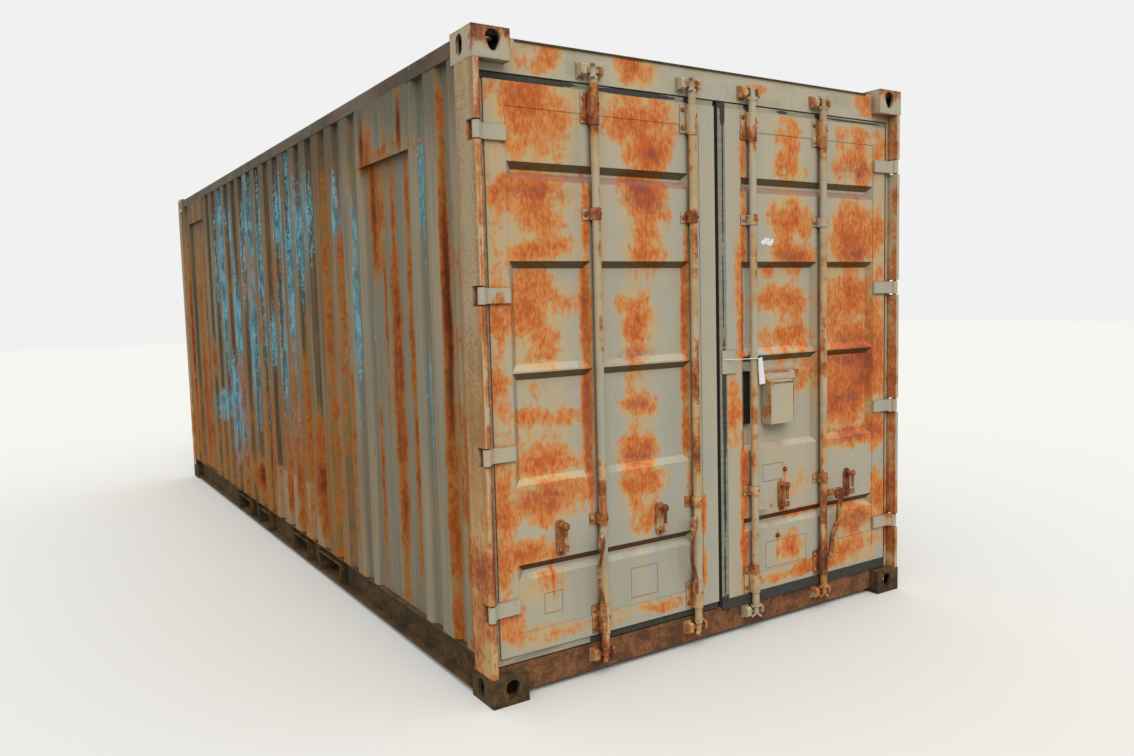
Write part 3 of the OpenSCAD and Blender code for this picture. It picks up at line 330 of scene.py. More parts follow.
def rusted(r, paint, amount, tones=DOOR_TONES):
    """Paint that breaks into ochre, orange and brown as the amount rises. Gives colour and rust share."""
    halo, light, body, deep, core = tones
    blotch = r.swing(r.noise(6.5, 8, 0.66), 1.7)
    drips = r.swing(r.noise((42, 42, 15), 6, 0.66), 0.8)
    grain = r.noise((70, 70, 36), 5, 0.62)
    present = r.step(amount, 0.0, 0.25)
    level = r.times(r.plus(amount, blotch, drips), present)
    stain = r.times(r.plus(r.times(amount, 1.5), r.times(blotch, 0.5)), present)
    tint = r.blend(r.step(r.plus(r.times(drips, -0.5), grain), 0.34, 0.66), light, body)
    colour = r.blend(r.times(r.step(stain, 0.05, 0.95), 0.85), paint, halo)
    colour = r.blend(r.times(r.step(level, 0.25, 0.72), 0.94), colour, tint)
    patchy = r.plus(level, r.swing(grain, 0.45), -0.05)
    colour = r.blend(r.times(r.step(patchy, 0.66, 1.25), 0.7), colour, deep)
    colour = r.blend(r.times(r.step(patchy, 1.15, 1.75), 0.8), colour, core)
    return colour, r.step(level, 0.2, 0.7)


# Rust on the doors, spot by spot: place across the end, level, half width, half height (mm) and strength
LEFT_DOOR_RUST = [
    (-950, 2340, 150, 90, 0.9), (-1130, 2380, 45, 60, 0.6), (-940, 2190, 130, 70, 0.75),
    (-1120, 2150, 45, 90, 0.4), (-425, 2340, 130, 100, 0.9), (-390, 2200, 75, 80, 0.9),
    (-930, 2010, 130, 80, 0.85), (-950, 1880, 110, 60, 0.6), (-940, 1780, 140, 45, 0.9),
    (-400, 2000, 85, 90, 0.95), (-395, 1870, 70, 70, 0.85), (-400, 1775, 85, 45, 0.95),
    (-700, 1990, 30, 60, 0.5), (-935, 1560, 115, 85, 0.85), (-950, 1680, 80, 40, 0.4),
    (-440, 1555, 62, 55, 0.9), (-415, 1490, 62, 55, 0.85), (-440, 1430, 60, 50, 0.75),
    (-440, 1365, 70, 36, 0.7), (-930, 1360, 120, 25, 0.6), (-930, 1100, 125, 40, 0.7),
    (-440, 1110, 66, 45, 0.95), (-930, 925, 140, 45, 0.95), (-440, 925, 76, 55, 1.05),
    (-930, 790, 120, 65, 1.0), (-430, 795, 80, 55, 1.1), (-1120, 800, 45, 140, 0.8),
    (-480, 700, 60, 50, 0.5), (-1000, 580, 95, 40, 0.85), (-1120, 540, 45, 60, 0.6),
    (-430, 600, 80, 22, 0.35), (-980, 420, 110, 50, 0.45), (-1110, 320, 55, 80, 0.5),
    (-450, 225, 150, 26, 0.5), (-950, 225, 160, 30, 0.5), (-1120, 1960, 40, 90, 0.6),
    (-1120, 1770, 40, 80, 0.6), (-1120, 1480, 35, 60, 0.5), (-1120, 1290, 35, 60, 0.5),
    (-1130, 1660, 40, 700, 0.45), (-940, 2270, 130, 130, 0.85), (-940, 1900, 120, 140, 0.7),
    (-940, 1500, 100, 190, 0.55), (-930, 1000, 105, 160, 0.4), (-405, 2280, 75, 140, 0.8),
    (-405, 1890, 60, 150, 0.8), (-440, 1510, 60, 210, 0.55), (-440, 1070, 55, 220, 0.5),
    (-1130, 620, 45, 320, 0.5), (-440, 720, 60, 120, 0.45),
]
LEFT_DOOR_STREAKS = [
    (-708, 1890, 14, 160, 0.9), (-708, 1530, 15, 230, 1.1), (-708, 1090, 15, 240, 1.3),
    (-180, 1530, 13, 210, 1.0), (-180, 1090, 13, 220, 1.0), (-95, 350, 13, 80, 0.9),
    (-95, 600, 13, 60, 0.9), (-903, 460, 8, 90, 0.8),
]
RIGHT_DOOR_RUST = [
    (470, 2320, 60, 80, 0.45), (470, 2175, 70, 60, 0.85), (925, 2350, 85, 60, 0.6),
    (930, 2215, 100, 90, 0.95), (1100, 2300, 55, 100, 0.5), (470, 1945, 95, 90, 1.0),
    (470, 1775, 115, 42, 0.9), (930, 1960, 110, 60, 0.85), (940, 1850, 140, 120, 1.1),
    (1100, 1880, 50, 80, 0.85), (360, 1690, 90, 40, 0.5), (430, 1555, 135, 55, 0.9),
    (450, 1385, 130, 50, 0.75), (920, 1690, 70, 50, 0.6), (890, 1570, 140, 110, 1.1),
    (860, 1390, 130, 60, 1.0), (1095, 1380, 50, 150, 1.0), (905, 1150, 165, 170, 1.5),
    (90, 1050, 50, 110, 0.75), (570, 1160, 50, 60, 0.65), (930, 855, 150, 45, 1.1),
    (1095, 850, 55, 70, 1.0), (450, 820, 90, 30, 0.35), (500, 650, 90, 45, 0.45), (450, 340, 65, 60, 0.9),
    (950, 410, 120, 60, 1.0), (940, 280, 120, 65, 1.0), (1105, 520, 45, 90, 0.8),
    (1110, 1060, 40, 120, 0.6), (470, 1860, 80, 150, 0.6), (470, 2250, 60, 130, 0.5),
    (440, 1480, 110, 180, 0.45), (900, 1480, 110, 200, 0.6), (935, 2270, 90, 120, 0.5),
    (1110, 1700, 45, 600, 0.45), (600, 520, 260, 16, 0.6), (500, 225, 220, 24, 0.7),
]
RIGHT_DOOR_STREAKS = [
    (160, 2170, 14, 90, 0.9), (160, 1890, 14, 160, 1.0), (158, 1530, 15, 220, 1.1),
    (158, 560, 18, 330, 1.2), (128, 1600, 20, 230, 0.5), (372, 350, 8, 70, 0.9), (425, 690, 8, 60, 0.9),
]

# Rust on the beam over the doors, the posts and the lock box, in the same measures
HEADER_RUST = [
    (-870, 2520, 52, 55, 0.9), (-1000, 2515, 80, 50, 0.35), (-430, 2530, 75, 55, 0.85),
    (1000, 2520, 75, 45, 0.7), (0, 2588, 1200, 7, 1.1), (255, 2520, 40, 20, 0.4), (1100, 2470, 90, 14, 0.8),
]
POST_RUST = [
    (-1191, 2300, 7, 110, 1.1), (-1191, 1850, 6, 330, 0.9), (-1191, 1350, 7, 330, 1.0),
    (-1191, 650, 8, 420, 1.1), (-1205, 350, 30, 300, 0.4), (-1205, 1750, 6, 600, 0.55),
    (-1170, 900, 8, 900, 0.7), (1191, 1000, 4, 900, 0.4),
]
LOCK_BOX_RUST = [
    (276, 1060, 14, 110, 0.9), (300, 1165, 24, 20, 0.7), (505, 1205, 12, 22, 1.6), (443, 1080, 4, 110, 1.0),
    (360, 1214, 130, 6, 0.8),
]

# Grey and purple scrapes in the rust, in the same measures
LEFT_DOOR_SCRAPES = [
    (-940, 2000, 130, 22, 0.7), (-410, 1990, 80, 26, 0.7), (-440, 1340, 70, 18, 0.7),
    (-440, 905, 70, 24, 0.7), (-940, 790, 80, 34, 0.6), (-700, 1080, 10, 190, 0.8),
    (-430, 1110, 40, 20, 0.6),
]
RIGHT_DOOR_SCRAPES = [
    (890, 1235, 55, 18, 1.2), (880, 1040, 60, 16, 1.1), (930, 1350, 90, 20, 0.8), (930, 860, 120, 20, 0.9),
    (930, 1760, 90, 24, 0.7), (940, 2180, 90, 26, 0.7), (470, 1760, 60, 20, 0.6), (950, 420, 80, 40, 0.7),
]


# Heights over the door's foot that part its upper, middle and lower pressed ledges
HIGH_LEDGE = 1.8
LOW_LEDGE = 0.5


def pressed_slopes(r, colour, wander, outside):
    """Painted shade on the slopes that look down under the ledges of the pressed doors and on the side
    slopes, bare pinkish rust on the slopes that look up.
    """
    looks_up = r.times(r.step(r.face_z, 0.2, 0.5), outside)
    looks_down = r.times(r.step(r.face_z, -0.2, -0.5), outside)
    looks_side = r.step(r.calc("ABSOLUTE", r.face_y), 0.25, 0.5)
    high = r.step(r.z, DOOR_FOOT + HIGH_LEDGE, DOOR_FOOT + HIGH_LEDGE + 0.05)
    low = r.step(r.z, DOOR_FOOT + LOW_LEDGE, DOOR_FOOT + LOW_LEDGE - 0.05)
    bare = r.blend(r.step(r.noise((9, 9, 30), 6, 0.7), 0.45, 0.6), PINK, PURPLE)
    bare = r.blend(0.25, bare, colour)
    share = r.calc("MINIMUM", r.plus(r.times(high, 0.9), r.times(r.step(wander, 0.5, 0.62), 0.45)), 1.0)
    colour = r.blend(r.times(looks_up, share), colour, bare)
    # painted shade on the slopes that look down, deeper and browner on the low ledge
    colour = r.blend(r.times(looks_down, 0.85), colour, GRIME_AND_SHADE)
    colour = r.blend(r.times(looks_down, low, 0.75), colour, LEDGE_SHADE)
    # painted shade on the slopes that face sideways
    return r.blend(r.times(looks_side, 0.3), colour, GRIME_AND_SHADE)


def door_skin(name, spots, streaks, scrapes):
    """A door's outside, with rust in listed spots. Its inside is plain old paint."""
    r = Recipe(name)
    paint = old_paint(r)
    outside = r.step(r.face_x, -0.2, 0.2)
    across = r.plus(r.y, r.swing(r.noise((7, 7, 7), 5, 0.6), 0.036))
    up = r.plus(r.z, r.swing(r.noise((6, 6, 4), 5, 0.6, at=r.vector(r.z, r.x, r.y)), 0.05))
    amount = r.largest([r.marks(across, up, spots), r.marks(r.y, r.z, streaks)])
    colour, share = rusted(r, paint, r.times(amount, outside))
    colour = pressed_slopes(r, colour, r.noise((4, 4, 2), 4, 0.6), outside)
    rubbed = r.noise((26, 26, 34), 6, 0.66)
    scraped = r.times(r.marks(across, up, scrapes), r.step(rubbed, 0.34, 0.60), outside)
    colour = r.blend(r.times(scraped, 0.6), colour, SCRAPE_RED)
    colour = r.blend(r.times(scraped, r.step(rubbed, 0.60, 0.68), 0.7), colour, SCRAPE_DARK)
    edge = r.worn_edge(0.003)
    colour = r.blend(r.times(edge, 0.45), colour, EDGE_BROWN)
    # dirt and painted shade in corners and gaps
    colour = r.blend(r.times(r.crevice(), 0.7), colour, GAP_DIRT_AND_SHADE_BROWN)
    height = r.plus(r.times(r.noise(190, 5, 0.65), 0.6), r.times(r.noise(14, 4, 0.5), 0.5))
    return r.finish(colour, r.plus(0.62, r.times(share, 0.28)), height, 0.0016, specular=0.22)


# Rust runs on the long side: distance from the door end, level, half width, half height (mm) and strength
SIDE_RUST = [
    (325, 1500, 17, 560, 1.1), (325, 700, 28, 400, 0.9), (150, 800, 40, 800, 0.55),
    (225, 1200, 16, 900, 0.5), (325, 1750, 10, 300, 1.0), (720, 1250, 20, 820, 0.9),
    (720, 2330, 20, 80, 0.9), (888, 1080, 40, 620, 1.3), (890, 1900, 20, 300, 0.9),
    (890, 480, 24, 220, 0.9), (1110, 2040, 50, 220, 1.35), (1010, 2050, 30, 150, 0.7),
    (1020, 1560, 14, 330, 0.8), (1150, 700, 18, 330, 0.8), (1190, 2320, 22, 90, 1.0),
    (940, 2260, 280, 14, 0.8), (1480, 900, 26, 420, 0.6), (1600, 1500, 22, 480, 0.5),
    (1830, 1250, 24, 700, 0.6), (1720, 800, 25, 400, 0.6), (2080, 600, 70, 220, 0.9),
    (2270, 900, 36, 460, 0.75), (2430, 700, 25, 300, 0.6), (2560, 900, 25, 480, 0.6),
    (2750, 600, 30, 260, 0.6), (2960, 1100, 22, 600, 0.6), (3100, 700, 30, 360, 0.6),
    (3280, 900, 24, 500, 0.5), (3570, 1800, 70, 160, 0.8), (3520, 405, 130, 75, 1.0),
    (3660, 800, 24, 320, 0.6), (3900, 950, 50, 210, 0.9), (3900, 380, 55, 60, 0.8),
    (4250, 415, 55, 45, 0.9), (4120, 1500, 22, 400, 0.5), (4550, 800, 24, 360, 0.6),
    (4900, 1175, 50, 80, 0.9), (4760, 1500, 22, 600, 0.5), (5150, 1200, 50, 950, 0.9),
    (5400, 1100, 70, 900, 1.0), (5300, 800, 60, 400, 0.8), (5750, 1400, 55, 560, 1.15),
    (5900, 1000, 30, 800, 0.6), (5980, 500, 40, 300, 0.7),
]
# The darkest runs, in the same measures
SIDE_DARK = [
    (326, 1600, 8, 330, 0.7), (325, 1260, 8, 160, 0.7), (1125, 2050, 18, 160, 0.6),
    (1185, 2350, 18, 90, 0.8), (722, 2360, 20, 70, 0.8), (2240, 1350, 10, 260, 0.5),
    (3560, 1400, 10, 300, 0.5), (5160, 1500, 14, 500, 0.6), (5740, 1500, 20, 500, 0.6),
]
# Blue paint still left from an older coat, in the same measures
SIDE_BLUE = [
    (545, 1130, 13, 200, 0.8), (545, 2050, 14, 200, 0.85), (1600, 2080, 50, 140, 0.7),
    (1385, 1500, 15, 400, 0.8), (1590, 1500, 26, 300, 0.5), (2290, 1980, 90, 280, 0.8),
    (2500, 1680, 50, 740, 1.05), (2720, 2110, 75, 210, 1.0), (2720, 1360, 60, 520, 0.85),
    (2975, 1380, 70, 190, 0.8), (3200, 1760, 50, 670, 1.0), (3500, 1730, 95, 640, 1.0),
    (3950, 1480, 95, 340, 0.95), (4080, 2200, 70, 160, 0.9), (4350, 1800, 95, 600, 1.0),
    (4130, 800, 230, 300, 0.85), (4580, 790, 270, 90, 1.25), (4580, 1850, 70, 310, 1.0),
    (4760, 1500, 40, 300, 0.6), (3700, 1900, 40, 300, 0.7), (2110, 2100, 40, 200, 0.6),
    (1175, 1480, 16, 190, 0.5),
]


# How far the wall's crests and valleys lie inside the container's side
CREST_DEEP = 0.010
VALLEY_DEEP = 0.024

# The repair patch low on the wall: its two ends, from the door end, and its top
PATCH_FROM = 2.06
PATCH_TO = 3.06
PATCH_TOP = 0.52

# Rain dirt on the sides, and painted shade in their valleys and on their turned slopes
RAIN_OLIVE = srgb(80, 68, 42)
RAIN_TAN = srgb(148, 122, 80)
RAIN_BROWN = srgb(140, 90, 40)
RAIN_SOOT = srgb(76, 74, 62)
RAIN_BLACK = srgb(52, 46, 32)
RAIN_THREAD = srgb(186, 112, 48)
# Painted shade in the valleys and on the turned slopes
VALLEY_SHADE_GREY = srgb(98, 98, 86)
SLOPE_SHADE = srgb(48, 42, 32)
DARKEST_RUN = srgb(64, 32, 22)


def side_skin():
    """Corrugated side: streaks of rust and flakes of an older blue coat outside, painted shade in the valleys
    and on the far slopes that face the door end, dull paint inside.
    """
    r = Recipe("side_paint")
    paint = old_paint(r)
    outside = r.step(r.times(r.face_y, r.calc("SIGN", r.y)), -0.1, 0.1)
    valley = r.step(r.calc("ABSOLUTE", r.y), SIDE - CREST_DEEP, SIDE - VALLEY_DEEP)
    sloped = r.step(r.calc("ABSOLUTE", r.face_x), 0.25, 0.6)
    along = r.calc("SUBTRACT", DOOR_END, r.x)
    place = r.plus(along, r.swing(r.noise((9, 9, 2.2), 5, 0.6), 0.03))
    up = r.plus(r.z, r.swing(r.noise((16, 16, 1.6), 4, 0.6), 0.16))
    streak = r.noise((24, 24, 0.9), 6, 0.66)
    cloud = r.noise((1.4, 1.4, 0.9), 4, 0.6)
    low = r.step(r.z, 1.3, 0.35)
    far = r.step(along, 1.2, 1.9)
    # rain streaks: olive, tan and grey-black, darker under the roof's edge
    fine = r.noise((60, 60, 0.8), 5, 0.7)
    mixed = r.plus(r.times(streak, 0.6), r.times(fine, 0.4))
    wash = r.blend(r.step(mixed, 0.40, 0.60), RAIN_OLIVE, RAIN_TAN)
    colour = r.blend(r.times(outside, r.plus(0.55, r.times(far, 0.35))), paint, wash)
    brown = r.times(outside, far, r.step(r.plus(cloud, r.times(low, 0.25)), 0.42, 0.72))
    colour = r.blend(r.times(brown, 0.7), colour, RAIN_BROWN)
    dark = r.times(outside, r.step(r.plus(r.z, r.swing(streak, 0.55)), 2.05, 2.55))
    colour = r.blend(r.times(dark, 0.72), colour, RAIN_SOOT)
    runs = r.times(outside, far, r.step(r.noise((17, 17, 0.5), 5, 0.7), 0.56, 0.70))
    colour = r.blend(r.times(runs, 0.65), colour, RAIN_BLACK)
    threads = r.times(outside, r.plus(0.3, r.times(far, 0.7)), r.step(fine, 0.56, 0.68))
    colour = r.blend(r.times(threads, 0.6), colour, RAIN_THREAD)
    # painted shade in the valleys
    colour = r.blend(r.times(valley, outside, 0.4), colour, VALLEY_SHADE_GREY)
    # painted shade on the far slopes that face the door end
    turned = r.times(outside, far, r.step(r.face_x, 0.25, 0.6))
    colour = r.blend(r.times(turned, 0.5), colour, SLOPE_SHADE)
    below = r.step(r.z, PATCH_TOP + 0.015, PATCH_TOP)
    patch = r.times(r.between(along, PATCH_FROM, PATCH_TO, 0.01), below, outside)
    colour = r.blend(r.times(patch, 0.4), colour, PAINT)
    # flakes of the older coat
    blue = r.marks(place, up, SIDE_BLUE)
    flake = r.noise((95, 95, 42), 8, 0.76, bend=0.4)
    bands = r.noise((34, 34, 1.2), 5, 0.7)
    hold = r.plus(blue, r.swing(flake, 2.3), r.swing(bands, 2.0))
    sticks = r.times(r.step(hold, 0.62, 0.78), r.step(blue, 0.1, 0.4), outside)
    tone = r.blend(r.step(r.noise((30, 30, 8), 6, 0.7), 0.38, 0.62), BLUE_DEEP, BLUE)
    amount = r.plus(r.marks(place, up, SIDE_RUST), r.times(far, low, 0.22), r.times(sloped, 0.10))
    amount = r.times(r.plus(amount, r.swing(streak, 0.42)), outside)
    colour, share = rusted(r, colour, amount, SIDE_TONES)
    colour = r.blend(r.times(r.marks(place, r.z, SIDE_DARK), outside, 0.9), colour, DARKEST_RUN)
    colour = r.blend(r.times(sticks, r.plus(0.88, r.times(share, -0.4))), colour, tone)
    height = r.plus(r.times(r.noise(190, 4, 0.6), 0.6), r.times(r.noise(12, 4, 0.5), 0.5))
    return r.finish(colour, r.plus(0.68, r.times(share, 0.22)), height, 0.0018, specular=0.18)


def header_skin():
    """The beam over the doors: pale paint, a few rust spots, grey dirt and a rusty upper edge."""
    r = Recipe("header_paint")
    paint = old_paint(r)
    dull = r.step(r.noise((3, 3, 8), 5, 0.6), 0.45, 0.7)
    paint = r.blend(r.times(dull, 0.4), paint, DULL_PAINT)
    across = r.plus(r.y, r.swing(r.noise(7, 5, 0.6), 0.04))
    amount = r.times(r.marks(across, r.z, HEADER_RUST), r.step(r.face_x, -0.2, 0.2))
    colour, share = rusted(r, paint, amount)
    wavy = r.plus(r.z, r.swing(r.noise(30, 4, 0.6), 0.006))
    top = r.step(wavy, TOP - 0.016, TOP - 0.006)
    colour = r.blend(r.times(top, 0.85), colour, CORE)
    height = r.plus(r.noise(190, 4, 0.6), r.noise(20, 4, 0.5))
    return r.finish(colour, r.plus(0.6, r.times(share, 0.28)), height, 0.0012)


def frame_paint(name, base_amount, low_amount, spots=None, freckled=0.0):
    """Paint on posts, hinges and walls, with rust that gathers low down and along edges."""
    r = Recipe(name)
    paint = old_paint(r)
    corner = r.step(r.calc("ABSOLUTE", r.x), DOOR_END - 0.045, DOOR_END - 0.004)
    freckles = r.plus(r.noise((120, 120, 70), 5, 0.72), r.swing(r.noise((7, 7, 1.1), 4, 0.6), 0.35),
                      r.times(corner, 0.2), r.times(r.step(r.z, 2.0, 0.5), 0.16), -0.1)
    on_side = r.times(r.step(r.times(r.face_y, r.calc("SIGN", r.y)), 0.4, 0.7), freckled)
    paint = r.blend(r.times(on_side, 0.5), paint, OCHRE_WASH)
    paint = r.blend(r.times(on_side, r.step(freckles, 0.30, 0.62)), paint, FRECKLE)
    streak = r.swing(r.noise((30, 30, 1.6), 6, 0.62), 0.5)
    cloud = r.swing(r.noise(3.1, 5, 0.6), 0.55)
    amount = r.plus(base_amount, r.times(r.step(r.z, 1.7, 0.1), low_amount), streak, cloud)
    if spots:
        amount = r.plus(amount, r.marks(r.y, r.z, spots))
    edge = r.worn_edge(0.005)
    colour, share = rusted(r, paint, r.plus(amount, r.times(edge, 0.5)), FRAME_TONES)
    colour = r.blend(r.times(edge, 0.5), colour, EDGE_RED)
    # dirt and painted shade in corners and gaps
    colour = r.blend(r.times(r.crevice(), 0.6), colour, GAP_DIRT_AND_SHADE_GREY)
    height = r.plus(r.times(r.noise(240, 4, 0.6), 0.7), r.times(r.noise(24, 4, 0.5), 0.4))
    return r.finish(colour, r.plus(0.62, r.times(share, 0.25)), height, 0.0014)


# Rustiest stretches of the lock rods and their brackets: place across the end, level and the rest as above
GEAR_RUST = [
    (-664, 2345, 30, 62, 2.5), (-668, 1922, 26, 22, 1.2), (-668, 800, 20, 110, 0.8),
    (-668, 350, 20, 60, 0.3), (-155, 1922, 26, 20, 0.6), (-155, 1220, 18, 130, 1.1),
    (-155, 900, 20, 60, 0.5), (-155, 660, 30, 24, 0.6), (201, 2270, 20, 60, 0.7), (201, 1922, 26, 20, 0.5),
    (201, 669, 26, 22, 0.6), (668, 1240, 18, 120, 0.7), (668, 2270, 20, 50, 0.5), (668, 480, 20, 110, 0.7),
    (668, 669, 26, 24, 0.5), (668, 250, 26, 60, 0.8),
]


GEAR_CREAM = srgb(206, 172, 116)
GEAR_TAN = srgb(166, 124, 76)
GEAR_EDGE = srgb(128, 62, 38)
# Dirt and painted shade in the lock gear's corners and gaps
GEAR_GAP_DIRT_AND_SHADE = srgb(58, 36, 22)


def gear_paint(name, base_amount):
    """Paint on the lock rods, cams and brackets, worn to rust in patches along them."""
    r = Recipe(name)
    paint = old_paint(r)
    long = r.noise((11, 11, 1.7), 5, 0.6)
    ring = r.noise((5, 5, 14), 6, 0.66)
    warm = r.blend(r.step(ring, 0.35, 0.65), GEAR_CREAM, GEAR_TAN)
    colour = r.blend(r.times(r.step(long, 0.40, 0.56), 0.75), paint, warm)
    amount = r.plus(r.swing(long, 1.6), r.swing(ring, 0.9), r.times(r.step(r.z, 1.9, 0.3), 0.2),
                    r.times(r.step(r.z, DOOR_TOP - 0.03, DOOR_TOP + 0.02), -0.25), base_amount,
                    r.times(r.marks(r.y, r.z, GEAR_RUST), 0.9))
    edge = r.worn_edge(0.004)
    colour, share = rusted(r, colour, r.plus(amount, r.times(edge, 0.45)), GEAR_TONES)
    colour = r.blend(r.times(edge, 0.55), colour, GEAR_EDGE)
    # dirt and painted shade in corners and gaps
    colour = r.blend(r.times(r.crevice(0.02), 0.75), colour, GEAR_GAP_DIRT_AND_SHADE)
    height = r.plus(r.noise(200, 5, 0.65), r.times(ring, 0.5))
    return r.finish(colour, r.plus(0.58, r.times(share, 0.3)), height, 0.0012, specular=0.3)


OLD_CREAM = srgb(196, 168, 122)


def bare_rust(name, light, dark, deep, paint_left):
    """Steel rusted through, with scale, pits and a little paint left on it."""
    r = Recipe(name)
    scale = r.noise(34, 8, 0.74)
    broad = r.noise((9, 9, 12), 8, 0.7)
    pits = r.step(r.noise(110, 5, 0.7), 0.3, 0.55)
    colour = r.blend(r.step(scale, 0.35, 0.66), dark, light)
    colour = r.blend(r.times(r.step(broad, 0.56, 0.40), 0.7), colour, deep)
    left = r.step(r.plus(broad, r.swing(scale, 0.2)), 1.0 - paint_left, 1.1 - paint_left)
    colour = r.blend(r.times(left, 0.75), colour, OLD_CREAM)
    edge = r.worn_edge(0.004)
    colour = r.blend(r.times(edge, 0.4), colour, light)
    colour = r.blend(r.times(r.less(pits), 0.5), colour, deep)
    # dirt and painted shade in corners, in the deep rust colour
    colour = r.blend(r.times(r.crevice(), 0.6), colour, deep)
    return r.finish(colour, 0.86, r.plus(scale, r.times(pits, 0.5)), 0.002, specular=0.25)


# Size of an upper corner fitting along, across and up, and how deep light reaches into its holes
FITTING_SIZE = (0.178, 0.162, 0.118)
FITTING_WALL = 0.014


def fitting_paint():
    """Paint on the upper corner fittings: rust round the edges and holes, painted shade inside."""
    r = Recipe("fitting_paint")
    paint = old_paint(r)
    cloud = r.noise(16, 7, 0.7)
    edge = r.worn_edge(0.014)
    end = r.times(r.step(r.calc("ABSOLUTE", r.face_x), 0.5, 0.8), r.step(r.z, TOP - 0.09, TOP - 0.01))
    amount = r.plus(r.times(edge, 0.8), r.swing(cloud, 1.5), r.times(end, 0.7), 0.1)
    colour, share = rusted(r, paint, amount, FITTING_TONES)
    # painted shade on the inside walls of the holes
    inside = [r.between(r.calc("ABSOLUTE", place), far - size + FITTING_WALL, far - FITTING_WALL, 0.006)
              for place, far, size in zip((r.x, r.y, r.z), fittings_high, FITTING_SIZE)]
    colour = r.blend(r.times(*inside, 0.97), colour, HOLE_SHADE_BLACK)
    # painted shade deep in the holes and corners
    colour = r.blend(r.times(r.crevice(0.1), 0.9), colour, FITTING_SHADE_BLACK)
    height = r.plus(r.noise(160, 5, 0.65), cloud)
    return r.finish(colour, r.plus(0.64, r.times(share, 0.25)), height, 0.0016, specular=0.25)


ROOF_DARK = srgb(78, 72, 60)
ROOF_GREY = srgb(116, 110, 94)
ROOF_SOOT = srgb(70, 64, 54)
ROOF_RUST = srgb(138, 88, 52)
LICHEN = srgb(156, 150, 130)


def roof_paint():
    """Grey weathered steel along the roof: soot, pale lichen, rusty specks and rust along its edges."""
    r = Recipe("roof_edge_paint")
    cloud = r.noise(2.2, 8, 0.68)
    runs = r.noise((1.2, 11, 11), 6, 0.66)
    lichen = r.step(r.noise(26, 7, 0.72), 0.54, 0.66)
    specks = r.step(r.noise((24, 24, 9), 6, 0.7), 0.58, 0.72)
    colour = r.blend(r.step(cloud, 0.32, 0.68), ROOF_DARK, ROOF_GREY)
    colour = r.blend(r.times(r.step(runs, 0.45, 0.65), 0.45), colour, ROOF_SOOT)
    colour = r.blend(r.times(lichen, 0.5), colour, LICHEN)
    near_edge = r.step(r.plus(r.calc("ABSOLUTE", r.y), r.swing(cloud, 0.5)), 1.02, 1.22)
    rust = r.times(r.plus(specks, r.times(near_edge, r.step(runs, 0.46, 0.62), 0.6)), 0.6)
    colour = r.blend(r.calc("MINIMUM", rust, 0.8), colour, ROOF_RUST)
    return r.finish(colour, 0.82, r.plus(lichen, r.noise(90, 5, 0.6)), 0.0016, specular=0.25)


# Where the overspray has gone from the rubber over the doors and from the strip between them
TOP_SEAL_WEAR = [
    (-1010, 2428, 160, 14, 1.3), (-440, 2427, 140, 8, 1.2), (930, 2426, 140, 4, 0.9),
    (35, 2424, 16, 20, 1.2), (-155, 2430, 18, 12, 0.9), (201, 2430, 18, 12, 0.9), (668, 2430, 18, 12, 0.8),
    (420, 2426, 30, 6, 0.7),
]
MIDDLE_SEAL_WEAR = [
    (40, 2390, 9, 40, 1.2), (40, 2210, 3, 120, 1.0), (38, 1950, 3, 100, 0.9), (36, 1600, 3, 140, 0.8),
    (38, 1090, 9, 190, 1.1), (34, 700, 6, 160, 0.9), (30, 300, 5, 120, 0.8), (34, 150, 30, 30, 1.0),
]


RUBBER_BLACK = srgb(44, 43, 41)
RUBBER_GREY = srgb(80, 78, 70)
SPRAY_PALE = srgb(176, 168, 140)
SPRAY_DULL = srgb(148, 144, 124)
SPRAY_GREY = srgb(128, 128, 118)


def rubber_seal():
    """Black rubber, cracked with age, under pale paint that was sprayed over it."""
    r = Recipe("rubber_seal")
    streaks = r.noise((8, 5, 42), 6, 0.66)
    crack = r.noise((70, 70, 24), 5, 0.6)
    upright = r.noise((30, 60, 2.4), 5, 0.66)
    on_top = r.step(r.z, DOOR_TOP - 0.01, DOOR_TOP)
    on_strip = r.times(r.step(r.y, 0.075, 0.055), r.step(r.y, -0.015, 0.0))
    low = r.times(r.step(r.z, DOOR_FOOT + 0.01, DOOR_FOOT - 0.01), r.step(r.y, -0.76, -0.68))
    worn_top = r.marks(r.y, r.z, TOP_SEAL_WEAR)
    worn_strip = r.marks(r.y, r.z, MIDDLE_SEAL_WEAR)
    bare = r.plus(r.times(on_top, worn_top), r.times(on_strip, worn_strip), r.times(low, 1.2))
    bare = r.plus(bare, r.swing(streaks, 0.4), r.swing(crack, 0.3), r.times(on_strip, r.swing(upright, 0.6)))
    sprayed = r.step(r.face_x, 0.3, 0.7)
    cover = r.times(sprayed, r.step(bare, 0.52, 0.36))
    base = r.blend(r.noise(40, 4, 0.6), RUBBER_BLACK, RUBBER_GREY)
    pale = r.blend(r.step(streaks, 0.4, 0.6), SPRAY_PALE, SPRAY_DULL)
    pale = r.blend(r.times(on_strip, 0.55), pale, SPRAY_GREY)
    colour = r.blend(cover, base, pale)
    return r.finish(colour, 0.8, r.plus(streaks, crack), 0.001, specular=0.3)


WOOD_DARK = srgb(112, 84, 56)
WOOD_LIGHT = srgb(150, 118, 82)
WOOD_TRODDEN = srgb(84, 66, 48)


def boards():
    """Worn plywood: long grain, a darker trodden middle and scuffs."""
    r = Recipe("floor_wood")
    grain = r.noise((3, 46, 46), 6, 0.6, bend=0.4)
    worn = r.noise(2.4, 5, 0.6)
    colour = r.blend(r.step(grain, 0.35, 0.65), WOOD_DARK, WOOD_LIGHT)
    colour = r.blend(r.times(r.step(worn, 0.45, 0.7), 0.55), colour, WOOD_TRODDEN)
    return r.finish(colour, 0.75, grain, 0.0012)


